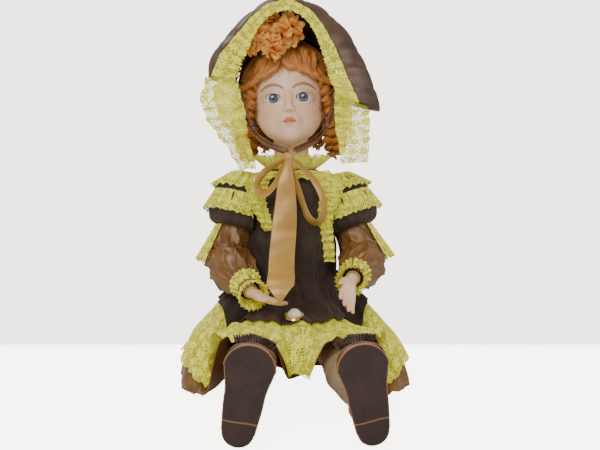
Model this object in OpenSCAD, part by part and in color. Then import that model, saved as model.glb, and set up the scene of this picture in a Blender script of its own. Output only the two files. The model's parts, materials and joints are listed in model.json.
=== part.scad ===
// Seated porcelain doll: bisque socket head, strung ball-jointed body, silk and lace costume, bonnet, shoes.
// Millimetres. +Z is up, the doll faces -Y, and left and right are the doll's own: its left is +X.
// The origin lies under the neck, on the plane that the seat and the heels rest on.

/* [Skeleton] */
// Height of the shoulder balls above the seat
shoulder_z = 188; // [186:0.5:189]
// Half the distance between the shoulder balls
shoulder_x = 48; // [47.5:0.5:49]
// Height of the centre of the neck ball
neck_z = 222; // [221:0.5:223]
// Height of the hip balls
hip_z = 36; // [35.5:0.5:37]
// Half the distance between the hip balls
hip_x = 27; // [26.5:0.5:27.5]
// Length of a thigh, hip ball to knee ball
thigh_length = 114; // [112:1:116]
// Length of a shin, knee ball to ankle
shin_length = 136; // [134:1:138]
// Length of a forearm, elbow ball to wrist ball
forearm_length = 82; // [80:1:83]
// Angle between each leg and straight ahead
leg_splay = 5.3; // [5:0.1:5.5]
// How far each foot is rolled inwards
foot_roll = 11; // [9:1:12]
// Lean of the head towards the doll's right shoulder
head_lean = 3; // [2:0.5:3]
// Turn of the face towards the doll's right
head_turn = 2.5; // [1:0.5:3]

/* [Head] */
// Radius of the round back of the head
cranium_r = 44; // [43:0.5:44]
// Wall of the bisque head
bisque_wall = 4; // [3:0.5:4.5]
// Radius of a glass eye
eye_r = 9.5; // [9:0.1:9.6]
// Half the distance between the eyes
eye_x = 15.5; // [15:0.5:16]

/* [Costume] */
// Height of the waist seam
waist_z = 98; // [97:0.5:99]
// Half the width of the skirt on the floor
hem_x = 112; // [108:1:114]
// How far the skirt reaches in front of its middle
hem_front = 125; // [123:1:126]
// Length of a shoe sole
sole_length = 84; // [82:1:85]

/* [Hidden] */
LEFT = 1;
RIGHT = -1;
joint_gap = 0.4;
silk = 2.5;

// ---------- places of the joints ----------
neck = [0, 2, neck_z];
function shoulder(side) = [side * shoulder_x, 6, shoulder_z];
function elbow(side) = [side == LEFT ? 75 : -68, -8, 118];
function forearm_way(side) = side == LEFT ? unit([-19, -78, -12]) : unit([25, -74, -25]);
function wrist(side) = elbow(side) + forearm_length * forearm_way(side);
function hand_way(side) = side == LEFT ? unit([-0.25, -0.62, -0.6]) : unit([0.66, -0.66, -0.28]);
function hip(side) = [side * hip_x, -8, hip_z];
function leg_way(side, drop) = unit([side * sin(leg_splay), -cos(leg_splay), -drop]);
function knee(side) = hip(side) + thigh_length * leg_way(side, 0);
function ankle(side) = knee(side) + shin_length * leg_way(side, 0.085);

// ---------- small tools ----------
function unit(v) = v / norm(v);
function mix(a, b, t) = a + (b - a) * t;
function ease(t) = let (c = min(1, max(0, t))) c * c * (3 - 2 * c);
function power(x, e) = sign(x) * pow(abs(x), e);
// Turns the z axis from a towards b.
module aim(a, b) {
    d = b - a;
    translate(a) rotate([0, acos(d.z / norm(d)), atan2(d.y, d.x)]) children();
}
module rod(a, b, r) aim(a, b) cylinder(r = r, h = norm(b - a), $fn = 32);
// One closed mesh of soft or moulded shapes, whose surface has no bore.
module moulded() resize([0, 0, 0]) children();
// The faces between rings of n points each; closed = true joins the last ring to the first.
// The second half of a ring is cut along the other diagonal, so a sheet's two sides match.
function side_faces(m, n, closed) = [
    for (i = [0:(closed ? m - 1 : m - 2)]) for (j = [0:n - 1])
        let (k = (j + 1) % n, a = i * n, b = ((i + 1) % m) * n)
            each (j < n / 2 ? [[a + j, a + k, b + k], [a + j, b + k, b + j]]
                : [[a + j, a + k, b + j], [a + k, b + k, b + j]])
];
module skin(rings) {
    n = len(rings[0]);
    m = len(rings);
    start = [for (j = [1:n - 2]) [0, j + 1, j]];
    end = [for (j = [1:n - 2]) [(m - 1) * n, (m - 1) * n + j, (m - 1) * n + j + 1]];
    polyhedron(points = [for (r = rings) each r], faces = concat(side_faces(m, n, false), start, end));
}
module loop_skin(sections)
    polyhedron(points = [for (s = sections) each s],
        faces = side_faces(len(sections), len(sections[0]), true));
// A flat band of width w and thickness t along points, with its width along across.
function band_rings(points, across, w, t) = [
    for (i = [0:len(points) - 1])
        let (
            a = points[max(0, i - 1)], b = points[min(len(points) - 1, i + 1)],
            wide = is_list(across[0]) ? unit(across[i]) : unit(across),
            out = unit(cross(unit(b - a), wide)), hw = (is_list(w) ? w[i] : w) / 2, ht = t / 2
        )
        [
            points[i] - wide * hw - out * ht, points[i] - wide * hw + out * ht,
            points[i] + wide * hw + out * ht, points[i] + wide * hw - out * ht
        ]
];
module band(points, across, w, t) skin(band_rings(points, across, w, t));

// ---------- strung composition body ----------
torso_wall = 4;
shoulder_ball_r = 11;
neck_ball_r = 19.5;
hip_ball_r = 18;
thigh_r = 19;

module trunk_form(shrink) hull() for (s = [LEFT, RIGHT]) {
    translate([s * 13.5, 4.5, 175]) sphere(r = 21 - shrink, $fn = 20);
    translate([s * 14.5, 6, 84]) sphere(r = 23.5 - shrink, $fn = 20);
    translate([s * 15, 8, 34]) sphere(r = 27 - shrink, $fn = 20);
    translate([s * 15, 10, shrink]) cylinder(r = 24 - shrink, h = 20, $fn = 20);
}
// The room that a thigh needs as it swings from straight ahead to straight down.
module thigh_room(side) {
    far = thigh_length * 0.9;
    hull() {
        rod(hip(side), hip(side) + far * leg_way(side, 0), thigh_r + 1.2);
        rod(hip(side), hip(side) + far * unit([side * sin(leg_splay), -0.05, -1]), thigh_r + 1.2);
    }
}
module torso() {
    color([0.87, 0.72, 0.58]) moulded() difference() {
        union() {
            trunk_form(0);
            translate([0, neck.y, 188]) cylinder(r = 23, h = neck_z - 188, $fn = 36);
        }
        trunk_form(torso_wall);
        translate(neck) sphere(r = neck_ball_r + joint_gap, $fn = 36);
        translate([0, neck.y, 180]) cylinder(r = 6, h = 30, $fn = 24);
        for (s = [LEFT, RIGHT]) {
            translate(shoulder(s)) sphere(r = shoulder_ball_r + joint_gap, $fn = 28);
            translate(hip(s)) sphere(r = hip_ball_r + joint_gap + 1, $fn = 28);
            thigh_room(s);
            rod([0, shoulder(s).y, shoulder_z], shoulder(s), 3.2);
            rod(leg_elastic_top, hip(s), 3.4);
        }
    }
}
cord_r = 1.6;
leg_elastic_top = [0, -3, 184];
module arm_elastic() color("ivory")
    rod([-33, shoulder(LEFT).y, shoulder_z], [33, shoulder(LEFT).y, shoulder_z], cord_r);
module leg_elastic() color("ivory") for (s = [LEFT, RIGHT]) {
    start = leg_elastic_top + [s * 3, 0, 0];
    way = unit(hip(s) - start);
    rod(start, hip(s) - way * (hip_ball_r + 2), cord_r);
}
module neck_button() color("burlywood") difference() {
    translate(neck) sphere(r = neck_ball_r - bisque_wall - joint_gap * 2, $fn = 40);
    translate(neck - [20, 20, 3]) cube([40, 40, 30]);
    translate(neck - [0, 0, 25]) cylinder(r = 2.1, h = 40, $fn = 24);
}
module neck_hook() color("silver") {
    translate([0, neck.y, 192]) cylinder(r = 1.7, h = neck_z - 192 - 1, $fn = 24);
    translate([0, neck.y, neck_z - 2.9]) cylinder(r = 5, h = 2, $fn = 32);
}

// ---------- bisque head ----------
cranium = [0, 6, 303];
face_mid = [0, -10, 280];
face_r = 34;
chin = [0, -25, 259];
chin_r = 19;
crown_cut_z = 332;
function eye(side) = [side * eye_x, -30.8, 286];
module on_head() translate(neck) rotate([0, -head_lean, -head_turn]) translate(-neck) children();
module head_form(grow) {
    translate(cranium) sphere(r = cranium_r + grow, $fn = 24);
    hull() {
        translate(face_mid) sphere(r = face_r + grow, $fn = 24);
        translate(chin) sphere(r = chin_r + grow, $fn = 20);
    }
    translate(neck) cylinder(r = 18.5 + grow, h = 40, $fn = 24);
}
module ear(side, grow) translate([side * 33, -4, 271]) scale([0.4, 0.6, 1]) sphere(r = 9.5 + grow, $fn = 16);
module head_shell() color([0.96, 0.85, 0.76]) on_head() moulded() difference() {
    union() {
        head_form(0);
        for (s = [LEFT, RIGHT]) ear(s, 0);
        translate(neck) sphere(r = neck_ball_r, $fn = 24);
    }
    difference() {
        head_form(-bisque_wall);
        translate([-30, -30, 190]) cube([60, 60, neck_z + 1 - 190]);
    }
    translate(neck) sphere(r = neck_ball_r - bisque_wall, $fn = 28);
    translate(neck - [0, 0, 30]) cylinder(r = 6, h = 30, $fn = 24);
    translate([-60, -60, crown_cut_z]) cube([120, 120, 60]);
    for (s = [LEFT, RIGHT]) translate(eye(s)) rotate([90, 0, 0]) cylinder(r = 7.2, h = 40, $fn = 24);
    for (s = [LEFT, RIGHT]) translate(eye(s)) sphere(r = eye_r + 0.4, $fn = 20);
}
module eye_ball(side) color("steelblue") on_head() translate(eye(side)) sphere(r = eye_r, $fn = 48);
module eye_plaster() color("white") on_head() difference() {
    translate([-21, -24, 286]) rotate([0, 90, 0]) cylinder(r = 4.5, h = 42, $fn = 32);
    for (s = [LEFT, RIGHT]) translate(eye(s)) sphere(r = eye_r + 0.1, $fn = 48);
}
module pate() color("peru") on_head() difference() {
    translate(cranium) sphere(r = cranium_r - 0.1, $fn = 48);
    translate(cranium) sphere(r = cranium_r - bisque_wall, $fn = 48);
    translate([-60, -60, crown_cut_z - 99.8]) cube([120, 120, 100]);
}

// ---------- wig, earrings, bonnet ----------
wig_r = 50.5;
module wig() color([0.55, 0.2, 0.07]) on_head() moulded() difference() {
    union() {
        difference() {
            translate(cranium) sphere(r = wig_r, $fn = 24);
            translate([-38, -80, 200]) cube([76, 62, 115]);
            translate([-70, -70, 180]) cube([140, 140, 80]);
        }
        for (s = [LEFT, RIGHT]) {
            hull() {
                translate([s * 40, 1, 288]) sphere(r = 8, $fn = 12);
                translate([s * 43, 8, 259]) sphere(r = 12, $fn = 12);
            }
            hull() {
                translate([s * 43, 8, 259]) sphere(r = 12, $fn = 12);
                translate([s * 45, 12, 236]) sphere(r = 10, $fn = 12);
            }
            hull() {
                translate([s * 24, 32, 262]) sphere(r = 12, $fn = 12);
                translate([s * 22, 34, 237]) sphere(r = 11, $fn = 12);
            }
        }
    }
    head_form(0.5);
    for (s = [LEFT, RIGHT]) ear(s, 2);
    translate([0, neck.y, 200]) cylinder(r = 33.5, h = 32, $fn = 36);
}
module earring(side) color([0.1, 0.35, 0.6]) on_head() translate([side * 37.8, -9, 264]) {
    translate([0, 0, -5.5]) sphere(r = 3.3, $fn = 32);
    translate([0, 0, 0.6]) rotate([90, 0, 0])
        rotate_extrude($fn = 32) translate([2.6, 0]) circle(r = 0.6, $fn = 16);
}
// The bonnet is laid out by the angle round the head, 0 at the top and positive to the doll's left.
brim_turns = [-83, -75, -64, -50, -36, -22, -8, 6, 20, 34, 48, 62, 76, 90, 100, 109];
brim_edge = [75, 73, 71, 68, 69, 74, 79, 80, 74, 66, 60, 57, 57, 60, 66, 74];
brim_puff = [78, 80, 80, 77, 77, 80, 83, 84, 84, 82, 79, 79, 80, 84, 92, 97];
function round_head(turn, r, y) = [r * sin(turn), y, cranium.z - 3 + r * cos(turn)];
function brim_section(i) = let (a = brim_turns[i], e = brim_edge[i], p = brim_puff[i]) [
    round_head(a, e, -62), round_head(a, e + 3, -60), round_head(a, p, -38), round_head(a, p - 4, -16),
    round_head(a, 58, 6), round_head(a, 55, 6), round_head(a, max(55, p - 9), -16), round_head(a, p - 5, -36)
];
module bonnet_brim() color([0.3, 0.2, 0.12]) on_head() moulded()
    skin([for (i = [0:len(brim_turns) - 1]) brim_section(i)]);
module bonnet_crown() color([0.3, 0.2, 0.12]) on_head() moulded() difference() {
    translate(cranium) sphere(r = 55, $fn = 28);
    translate(cranium) sphere(r = wig_r + 1, $fn = 28);
    translate([-70, -93, 200]) cube([140, 100, 200]);
    translate([-70, 7, 292]) rotate([-30, 0, 0]) translate([0, -20, -140]) cube([140, 140, 140]);
}
module bonnet_lace() color([0.88, 0.87, 0.45]) on_head() {
    last = len(brim_turns) - 1;
    points = [for (i = [0:last]) round_head(brim_turns[i], brim_edge[i] - 3.5, -55)];
    across = [for (i = [0:last]) round_head(brim_turns[i], 4, -12) - round_head(0, 0, 0)];
    band(points, across, 13, 1.6);
}
module lappet(points, w) color([0.86, 0.85, 0.4]) on_head() band(points, [1, 0, 0], w, 2.4);
module lappet_left()
    lappet([[66, -47, 277], [66, -40, 261], [64, -32, 243], [63, -26, 226]], [24, 30, 32, 28]);
module lappet_right() lappet(
    [[-75, -46, 300], [-76, -42, 283], [-72, -38, 262], [-62, -30, 243], [-54, -26, 224]],
    [18, 34, 34, 20, 14]
);
module flower_spray() color([0.86, 0.5, 0.16]) on_head() moulded() {
    translate([-20, -46, 348]) sphere(r = 13, $fn = 16);
    translate([2, -47, 353]) sphere(r = 16, $fn = 16);
    translate([-12, -51, 338]) sphere(r = 13.5, $fn = 16);
    translate([-11, -44, 356]) sphere(r = 11, $fn = 16);
}
module chin_ribbon() color([0.55, 0.36, 0.17]) on_head() {
    half = [
        [50, -28, 292], [44, -34, 276], [39.5, -36, 262], [32, -40, 249], [20, -42, 239.5], [9, -43, 235.5]
    ];
    points = concat([for (p = half) [-p.x, p.y, p.z]], [[0, -43, 235]], [for (i = [5:-1:0]) half[i]]);
    across = [for (p = points) [p.x * 0.35, 30, -12]];
    band(points, across, 8, 1.2);
}

// ---------- dress ----------
bodice_rows = [ // height, half width, front, back
    [104, 44, -36, 37], [116, 43, -36.5, 37], [136, 40, -38, 36.5], [160, 39.4, -39, 36],
    [184, 39.4, -35, 34], [202, 36, -29, 32], [211, 28.5, -26, 30]
];
function bodice_point(row, turn, inset) = let (
        r = bodice_rows[row], s = sin(turn), c = cos(turn),
        mid = (r[2] + r[3]) / 2, deep = (r[3] - r[2]) / 2 - inset
    )
    [(r[1] - inset) * power(c, 0.8), mid + deep * power(s, 0.9), r[0]];
module dress_bodice() color([0.16, 0.1, 0.08]) moulded() difference() {
    last = len(bodice_rows) - 1;
    loop_skin([for (turn = [0:12:348]) concat(
        [for (i = [0:last]) bodice_point(i, turn, 0)],
        [for (i = [last:-1:0]) bodice_point(i, turn, silk)]
    )]);
    rod([-70, shoulder(LEFT).y, shoulder_z], [70, shoulder(LEFT).y, shoulder_z], 14);
}
module back_buttons() color("ivory") for (i = [0:3])
    translate([0, [37.2, 36.9, 36.4, 35.4][i], 118 + i * 20]) rotate([-90, 0, 0])
        cylinder(r = 4, h = 2, $fn = 32);
function flare_ring(turn, r, dr, z0, z1) = [
    [r * cos(turn), neck.y + r * sin(turn), z0], [(r + dr) * cos(turn), neck.y + (r + dr) * sin(turn), z1],
    [(r + dr + 1.6) * cos(turn), neck.y + (r + dr + 1.6) * sin(turn), z1 - 0.8],
    [(r + 1.6) * cos(turn), neck.y + (r + 1.6) * sin(turn), z0]
];
module collar_lace() color([0.88, 0.87, 0.45])
    loop_skin([for (turn = [0:10:350]) flare_ring(turn, 25, 3 + sin(turn * 9), 212.8, 227)]);
module bodice_lace() color([0.9, 0.88, 0.5]) {
    band([[27, -27.5, 210], [28, -35, 200], [28, -41, 182], [29, -43.5, 160], [30, -43, 140], [30, -42, 122]],
        [1, 0.08, 0], [14, 20, 20, 18, 16, 12], 3);
    band([[-27, -27.5, 210], [-28, -35, 200], [-29, -41, 182], [-30, -43.5, 165], [-30, -43.5, 150]],
        [1, -0.08, 0], [14, 18, 18, 16, 12], 3);
}

// The skirt hangs from the waist over the thighs and stands on the floor round them.
skirt_mid_y = -40;
leg_tunnel_x = 66;
leg_tunnel_z = 57;
middle_drop = [12, 24]; // half width and lowest height of the part that hangs between the legs
function hem_place(turn) =
    [hem_x * power(cos(turn), 0.85), skirt_mid_y + hem_front * power(sin(turn), 0.8)];
function hem_height(p) = p.y > -30 ? 0 : abs(p.x) < middle_drop[0] ? middle_drop[1] :
    leg_tunnel_z * (1 - ease((abs(p.x) - leg_tunnel_x) / 34)) * ease((-30 - p.y) / 60);
function drape(turn, t, off) = let (
        p = hem_place(turn), w = [43 * cos(turn), 2 + 34 * sin(turn)],
        low = mix(abs(p.x) < 20 && p.y < -30 ? leg_tunnel_z : hem_height(p), hem_height(p),
            ease((t - 0.66) / 0.3)),
        back = ease(sin(turn) + 0.4), out = unit([cos(turn), sin(turn)]),
        side = ease((abs(cos(turn)) - 0.55) / 0.4) * 0.6,
        fall = mix(pow(1 - t, 3.2), pow(1 - t, 1.15), max(back, side)),
        flat = mix(w, p, t), out_by = off * (0.15 + 0.6 * abs(cos(turn)))
    )
    [flat.x + out.x * out_by, flat.y + out.y * out_by, low + (waist_z - low) * fall + off];
// One layer of the skirt from t0 to t1 of the way down, between the offsets low and high.
module skirt_layer(t0, t1, low, high) {
    ts = [for (t = [t0:0.07:t1 + 0.001]) t];
    loop_skin([for (turn = [0:7.5:352.5]) concat(
        [for (t = ts) drape(turn, t, high)],
        [for (i = [len(ts) - 1:-1:0]) drape(turn, ts[i], low)]
    )]);
}
module overskirt() color([0.2, 0.13, 0.1]) skirt_layer(0.02, 0.58, 5.6, 8);
module lace_flounce() color([0.9, 0.89, 0.52]) skirt_layer(0.51, 0.93, 3.2, 5);
module underskirt() color([0.55, 0.38, 0.18]) skirt_layer(0.3, 1.0, 0, 1.9);
module on_lap() translate([-1.5, -102.5, 71]) rotate([12, 0, 0]) children();
module brooch_setting() color("goldenrod") on_lap() cylinder(r1 = 9.5, r2 = 8, h = 2.5, $fn = 40);
module brooch_pearl() color("linen") on_lap() difference() {
    translate([0, 0, 2]) sphere(r = 6.8, $fn = 48);
    translate([-10, -10, -8]) cube([20, 20, 10.5]);
}

// ---------- bow ----------
knot = [-6, -48, 225.5];
module bow_loop(tip, w) {
    ways = [[0.05, 0.3], [0.3, 0.75], [0.65, 1], [0.92, 0.85], [1, 0.4]];
    wide = unit(cross(tip - knot, [0, 1, 0]));
    skin([for (g = ways) let (c = mix(knot, tip, g[0])) [for (a = [0:45:315])
        c + wide * cos(a) * w / 2 * g[1] + [0, sin(a) * 3.4 * g[1], 0]]]);
}
module ribbon_bow() color([0.72, 0.52, 0.25]) moulded() union() {
    translate(knot) sphere(r = 5.2, $fn = 20);
    bow_loop([-40, -52, 199], 17);
    bow_loop([26, -53, 168], 18);
}
tail_path = [[-6, -55, 219], [-7, -58, 205], [-8, -60, 188], [-9, -62, 165], [-11, -67, 145], [-13, -82, 126],
    [-14, -104, 114], [-15, -121, 107], [-16, -128, 98], [-16, -129, 87]];
module ribbon_tail() color([0.78, 0.58, 0.26])
    band(tail_path, [1, 0, 0], [10, 20, 26, 28, 28, 28, 29, 30, 30, 31], 1.6);

// ---------- arms ----------
elbow_ball_r = 9.5;
wrist_ball_r = 6.5;
arm_r = 8.8;
module upper_arm(side) {
    s = shoulder(side);
    e = elbow(side);
    color([0.87, 0.72, 0.58]) difference() {
        union() {
            translate(s) sphere(r = shoulder_ball_r, $fn = 48);
            aim(s, e) cylinder(r = arm_r, h = norm(e - s) - arm_r - 0.3, $fn = 48);
        }
        translate(e) sphere(r = elbow_ball_r + 0.3, $fn = 48);
        aim(s, e) cylinder(r = 2.6, h = 100, $fn = 32);
    }
}
module sleeve_puff(side) {
    e = elbow(side);
    s = shoulder(side);
    color([0.2, 0.13, 0.1]) difference() {
        aim(e, s) rotate_extrude($fn = 64) polygon([
            [12.5, 38], [20, 38.5], [26, 43], [29.5, 50], [30.5, 60], [28.5, 72], [24, 83], [18, 91],
            [12.5, 95]
        ]);
        translate([side * 20.3 - 20, -60, 100]) cube([40, 120, 160]);
        translate(s) sphere(r = shoulder_ball_r + 1.5, $fn = 48);
    }
}
module sleeve_lace(side) {
    e = elbow(side);
    s = shoulder(side);
    color([0.88, 0.87, 0.45]) difference() {
        union() {
            aim(e, s) rotate_extrude($fn = 64) polygon([[29.2, 72], [25.6, 80.5], [30, 84], [34, 76.5]]);
            aim(e, s) rotate_extrude($fn = 64)
                polygon([[31, 50], [31.4, 60], [34.2, 54], [35.8, 46], [34.6, 45.5]]);
        }
        translate([side * 20.3 - 20, -60, 100]) cube([40, 120, 160]);
    }
}
module elbow_ball(side) color([0.8, 0.62, 0.46]) aim(elbow(side), shoulder(side)) difference() {
    sphere(r = elbow_ball_r, $fn = 48);
    translate([0, 0, -20]) cylinder(r = 2.6, h = 40, $fn = 32);
}
module forearm(side) {
    e = elbow(side);
    w = wrist(side);
    color([0.87, 0.72, 0.58]) difference() {
        aim(e, w) translate([0, 0, arm_r + 0.3])
            cylinder(r1 = arm_r, r2 = 7.4, h = forearm_length - arm_r - 2, $fn = 48);
        translate(e) sphere(r = elbow_ball_r + 0.3, $fn = 48);
        translate(w) sphere(r = wrist_ball_r + 0.3, $fn = 48);
        aim(e, w) cylinder(r = 2.4, h = 100, $fn = 32);
    }
}
module satin_form(side, shrink) hull() {
    e = elbow(side);
    way = forearm_way(side);
    translate(e + [side * 2, 0, 0]) sphere(r = 22 - shrink, $fn = 20);
    translate(e + way * 38 + [side * 2, 0, 2]) sphere(r = 23 - shrink, $fn = 20);
    translate(e + way * 62) sphere(r = 15 - shrink, $fn = 16);
}
module satin_sleeve(side) {
    e = elbow(side);
    s = shoulder(side);
    color([0.5, 0.32, 0.14]) moulded() difference() {
        satin_form(side, 0);
        satin_form(side, silk);
        rod(e, mix(e, s, 0.6), 20);
        rod(e, wrist(side) + forearm_way(side) * 20, 10.5);
    }
}
// The frill at the wrist, and the one that falls over the elbow from the seam of the satin sleeve.
module cuff_lace(side) color([0.88, 0.87, 0.45]) {
    aim(elbow(side), wrist(side)) rotate_extrude($fn = 48)
        polygon([[9.6, 77.2], [12, 77.2], [19.5, 86], [19, 88.5], [10.6, 80]]);
    difference() {
        aim(elbow(side), shoulder(side)) rotate_extrude($fn = 48)
            polygon([[17, 29.5], [23, 24], [28, 12], [29.5, 0], [31.2, 0], [30, 14], [25, 26.5], [18, 32]]);
        translate(elbow(side) + [-60, -82, -60]) cube([120, 72, 120]);
        translate(elbow(side) + [side * -68 - 60, -60, -60]) cube([120, 120, 120]);
    }
}
// A hand: palm and thumb side vectors follow from the way the fingers point.
module hand(side) {
    w = wrist(side);
    way = hand_way(side);
    across = unit(cross(way, [0, 0, 1]) + [0, 0, side == LEFT ? 0.9 : 0.25]);
    down = unit(cross(across, way));
    spread = side == LEFT ? 0.35 : 1;
    lengths = [17, 21, 20, 17];
    color([0.96, 0.84, 0.76]) moulded() union() {
        translate(w) sphere(r = wrist_ball_r, $fn = 24);
        hull() {
            translate(w + way * 4) sphere(r = 5.4, $fn = 12);
            for (k = [-1, 1]) translate(w + way * 20 + across * k * 6.6) sphere(r = 3.6, $fn = 12);
        }
        for (i = [0:3]) {
            u = (i - 1.5) / 1.5;
            root = w + way * 21 + across * u * 7.4;
            mid = root + unit(way + across * u * 0.42 * spread) * lengths[i] * 0.55;
            tip = mid + unit(way + across * u * 0.3 * spread + down * 0.35) * lengths[i] * 0.5;
            hull() {
                translate(root) sphere(r = 3, $fn = 8);
                translate(mid) sphere(r = 2.6, $fn = 8);
            }
            hull() {
                translate(mid) sphere(r = 2.6, $fn = 8);
                translate(tip) sphere(r = 2.0, $fn = 8);
            }
        }
        hull() {
            translate(w + way * 8 - across * side * -5) sphere(r = 3.2, $fn = 8);
            translate(w + way * 19 + across * side * 13) sphere(r = 2.3, $fn = 8);
        }
    }
}

// ---------- legs ----------
knee_ball_r = 14.5;
module thigh(side) {
    h = hip(side);
    k = knee(side);
    color([0.87, 0.72, 0.58]) difference() {
        union() {
            translate(h) sphere(r = hip_ball_r, $fn = 48);
            aim(h, k) cylinder(r1 = thigh_r - 1.5, r2 = 16.5, h = thigh_length - 4, $fn = 48);
        }
        translate(k) sphere(r = knee_ball_r + 0.4, $fn = 48);
        aim(h, k) cylinder(r = 3, h = 150, $fn = 32);
        translate(k) rotate([-45, 0, 0]) translate([-30, -60, -60]) cube([60, 120, 60.7]);
    }
}
calf = [[9, 8], [14, 13], [16.4, 28], [17.2, 46], [15.2, 74], [11.6, 104], [10.4, 122], [10.6, 134]];
module shin(side) {
    k = knee(side);
    a = ankle(side);
    color([0.87, 0.72, 0.58]) {
        difference() {
            translate(k) sphere(r = knee_ball_r, $fn = 48);
            rod(k, k + 30 * leg_way(side, 0.085), 9.2);
        }
        aim(k, a) rotate_extrude($fn = 48) polygon(concat([[0, 8]], calf, [[0, 134]]));
        on_sole(side) translate([0, 0, 8]) cylinder(r = 9.8, h = 18, $fn = 40);
    }
}
module stocking(side) {
    k = knee(side);
    a = ankle(side);
    outer = [for (p = calf) if (p[1] > 20 && p[1] < 125) p + [1.5, 0]];
    inner = [for (i = [len(outer) - 1:-1:0]) outer[i] - [1.3, 0]];
    color("beige") aim(k, a) rotate_extrude($fn = 48) polygon(concat(outer, inner));
}
// Shoe frame: x across, y from heel to toe, z from the sole up to the ankle.
sole_depth = 3.2;
heel_back = 21;
ankle_height = 31;
module on_sole(side) {
    a = ankle(side) + [0, -ankle_height, 0];
    translate([a.x, a.y, heel_back - 0.4]) rotate([80, 0, 180 + side * leg_splay])
        rotate([0, 0, -side * foot_roll]) children();
}
function shoe_half(y) = let (t = (y + heel_back) / sole_length)
    t < 0.5 ? mix(12.5, 15.5, ease(t / 0.5)) : mix(15.5, 20, ease((t - 0.5) / 0.35));
function shoe_outline(inset) = concat(
    [for (a = [180:22.5:360]) [(12.5 - inset) * cos(a), -heel_back + 12.5 + (12.5 - inset) * sin(a)]],
    [for (y = [0:8:40]) [shoe_half(y) - inset, y]],
    [for (a = [15:22.5:165]) [(20 - inset) * cos(a), sole_length - heel_back - 20 + (20 - inset) * sin(a)]],
    [for (y = [40:-8:0]) [inset - shoe_half(y), y]]
);
module shoe_sole(side) color([0.17, 0.08, 0.07]) on_sole(side) difference() {
    linear_extrude(height = sole_depth) polygon(shoe_outline(0));
    translate([-30, -0.6, -1]) cube([60, 1.2, 6]);
}
// The upper: cross-sections from heel to toe, low over the toes and high round the ankle.
function upper_ring(y, half, high, inset) = [for (a = [0:22.5:180]) [
    (half - inset) * power(cos(a), 0.7), y,
    sole_depth + 0.1 + (inset ? 2 : 0) + (high - inset) * power(sin(a), 0.75)
]];
upper_stations = [ // along the sole, share of the outline's width there, height
    [-20, 0.55, 22], [-17, 0.84, 26], [-10, 1, 27], [0, 1, 26], [10, 1, 24], [22, 1, 20], [34, 1, 17],
    [46, 1, 15], [54, 0.9, 13], [59, 0.66, 10], [62, 0.3, 6]
];
module upper_form(inset) skin([for (s = upper_stations)
    upper_ring(s[0] * (inset ? 0.96 : 1), max(4, shoe_half(s[0]) * s[1] - 0.4), s[2], inset)]);
module shoe_upper(side) color([0.33, 0.17, 0.1]) on_sole(side) moulded() difference() {
    upper_form(0);
    upper_form(1.8);
    translate([0, 0, 7]) cylinder(r = 12.6, h = 60, $fn = 36);
    translate([0, 6, 24]) cylinder(r = 15, h = 60, $fn = 36);
}
module shoe_rosette(side) color([0.2, 0.1, 0.08]) on_sole(side) moulded() for (i = [-2:2])
    translate([i * 5.2, 60 - abs(i) * 1.6, 18.1]) sphere(r = 3.9, $fn = 10);

torso();
arm_elastic();
leg_elastic();
dress_bodice();
back_buttons();
collar_lace();
bodice_lace();
overskirt();
lace_flounce();
underskirt();
brooch_pearl();
brooch_setting();
ribbon_bow();
ribbon_tail();
neck_hook();
neck_button();
head_shell();
eye_ball(LEFT);  // eye_left
eye_ball(RIGHT);  // eye_right
eye_plaster();
pate();
wig();
earring(LEFT);  // earring_left
earring(RIGHT);  // earring_right
bonnet_brim();
bonnet_crown();
bonnet_lace();
lappet_left();
lappet_right();
flower_spray();
chin_ribbon();
upper_arm(LEFT);  // upper_arm_left
sleeve_puff(LEFT);  // sleeve_puff_left
sleeve_lace(LEFT);  // sleeve_lace_left
elbow_ball(LEFT);  // elbow_ball_left
forearm(LEFT);  // forearm_left
satin_sleeve(LEFT);  // satin_sleeve_left
cuff_lace(LEFT);  // cuff_lace_left
hand(LEFT);  // hand_left
upper_arm(RIGHT);  // upper_arm_right
sleeve_puff(RIGHT);  // sleeve_puff_right
sleeve_lace(RIGHT);  // sleeve_lace_right
elbow_ball(RIGHT);  // elbow_ball_right
forearm(RIGHT);  // forearm_right
satin_sleeve(RIGHT);  // satin_sleeve_right
cuff_lace(RIGHT);  // cuff_lace_right
hand(RIGHT);  // hand_right
thigh(LEFT);  // thigh_left
shin(LEFT);  // shin_left
stocking(LEFT);  // stocking_left
shoe_upper(LEFT);  // shoe_upper_left
shoe_sole(LEFT);  // shoe_sole_left
shoe_rosette(LEFT);  // shoe_rosette_left
thigh(RIGHT);  // thigh_right
shin(RIGHT);  // shin_right
stocking(RIGHT);  // stocking_right
shoe_upper(RIGHT);  // shoe_upper_right
shoe_sole(RIGHT);  // shoe_sole_right
shoe_rosette(RIGHT);  // shoe_rosette_right
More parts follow.
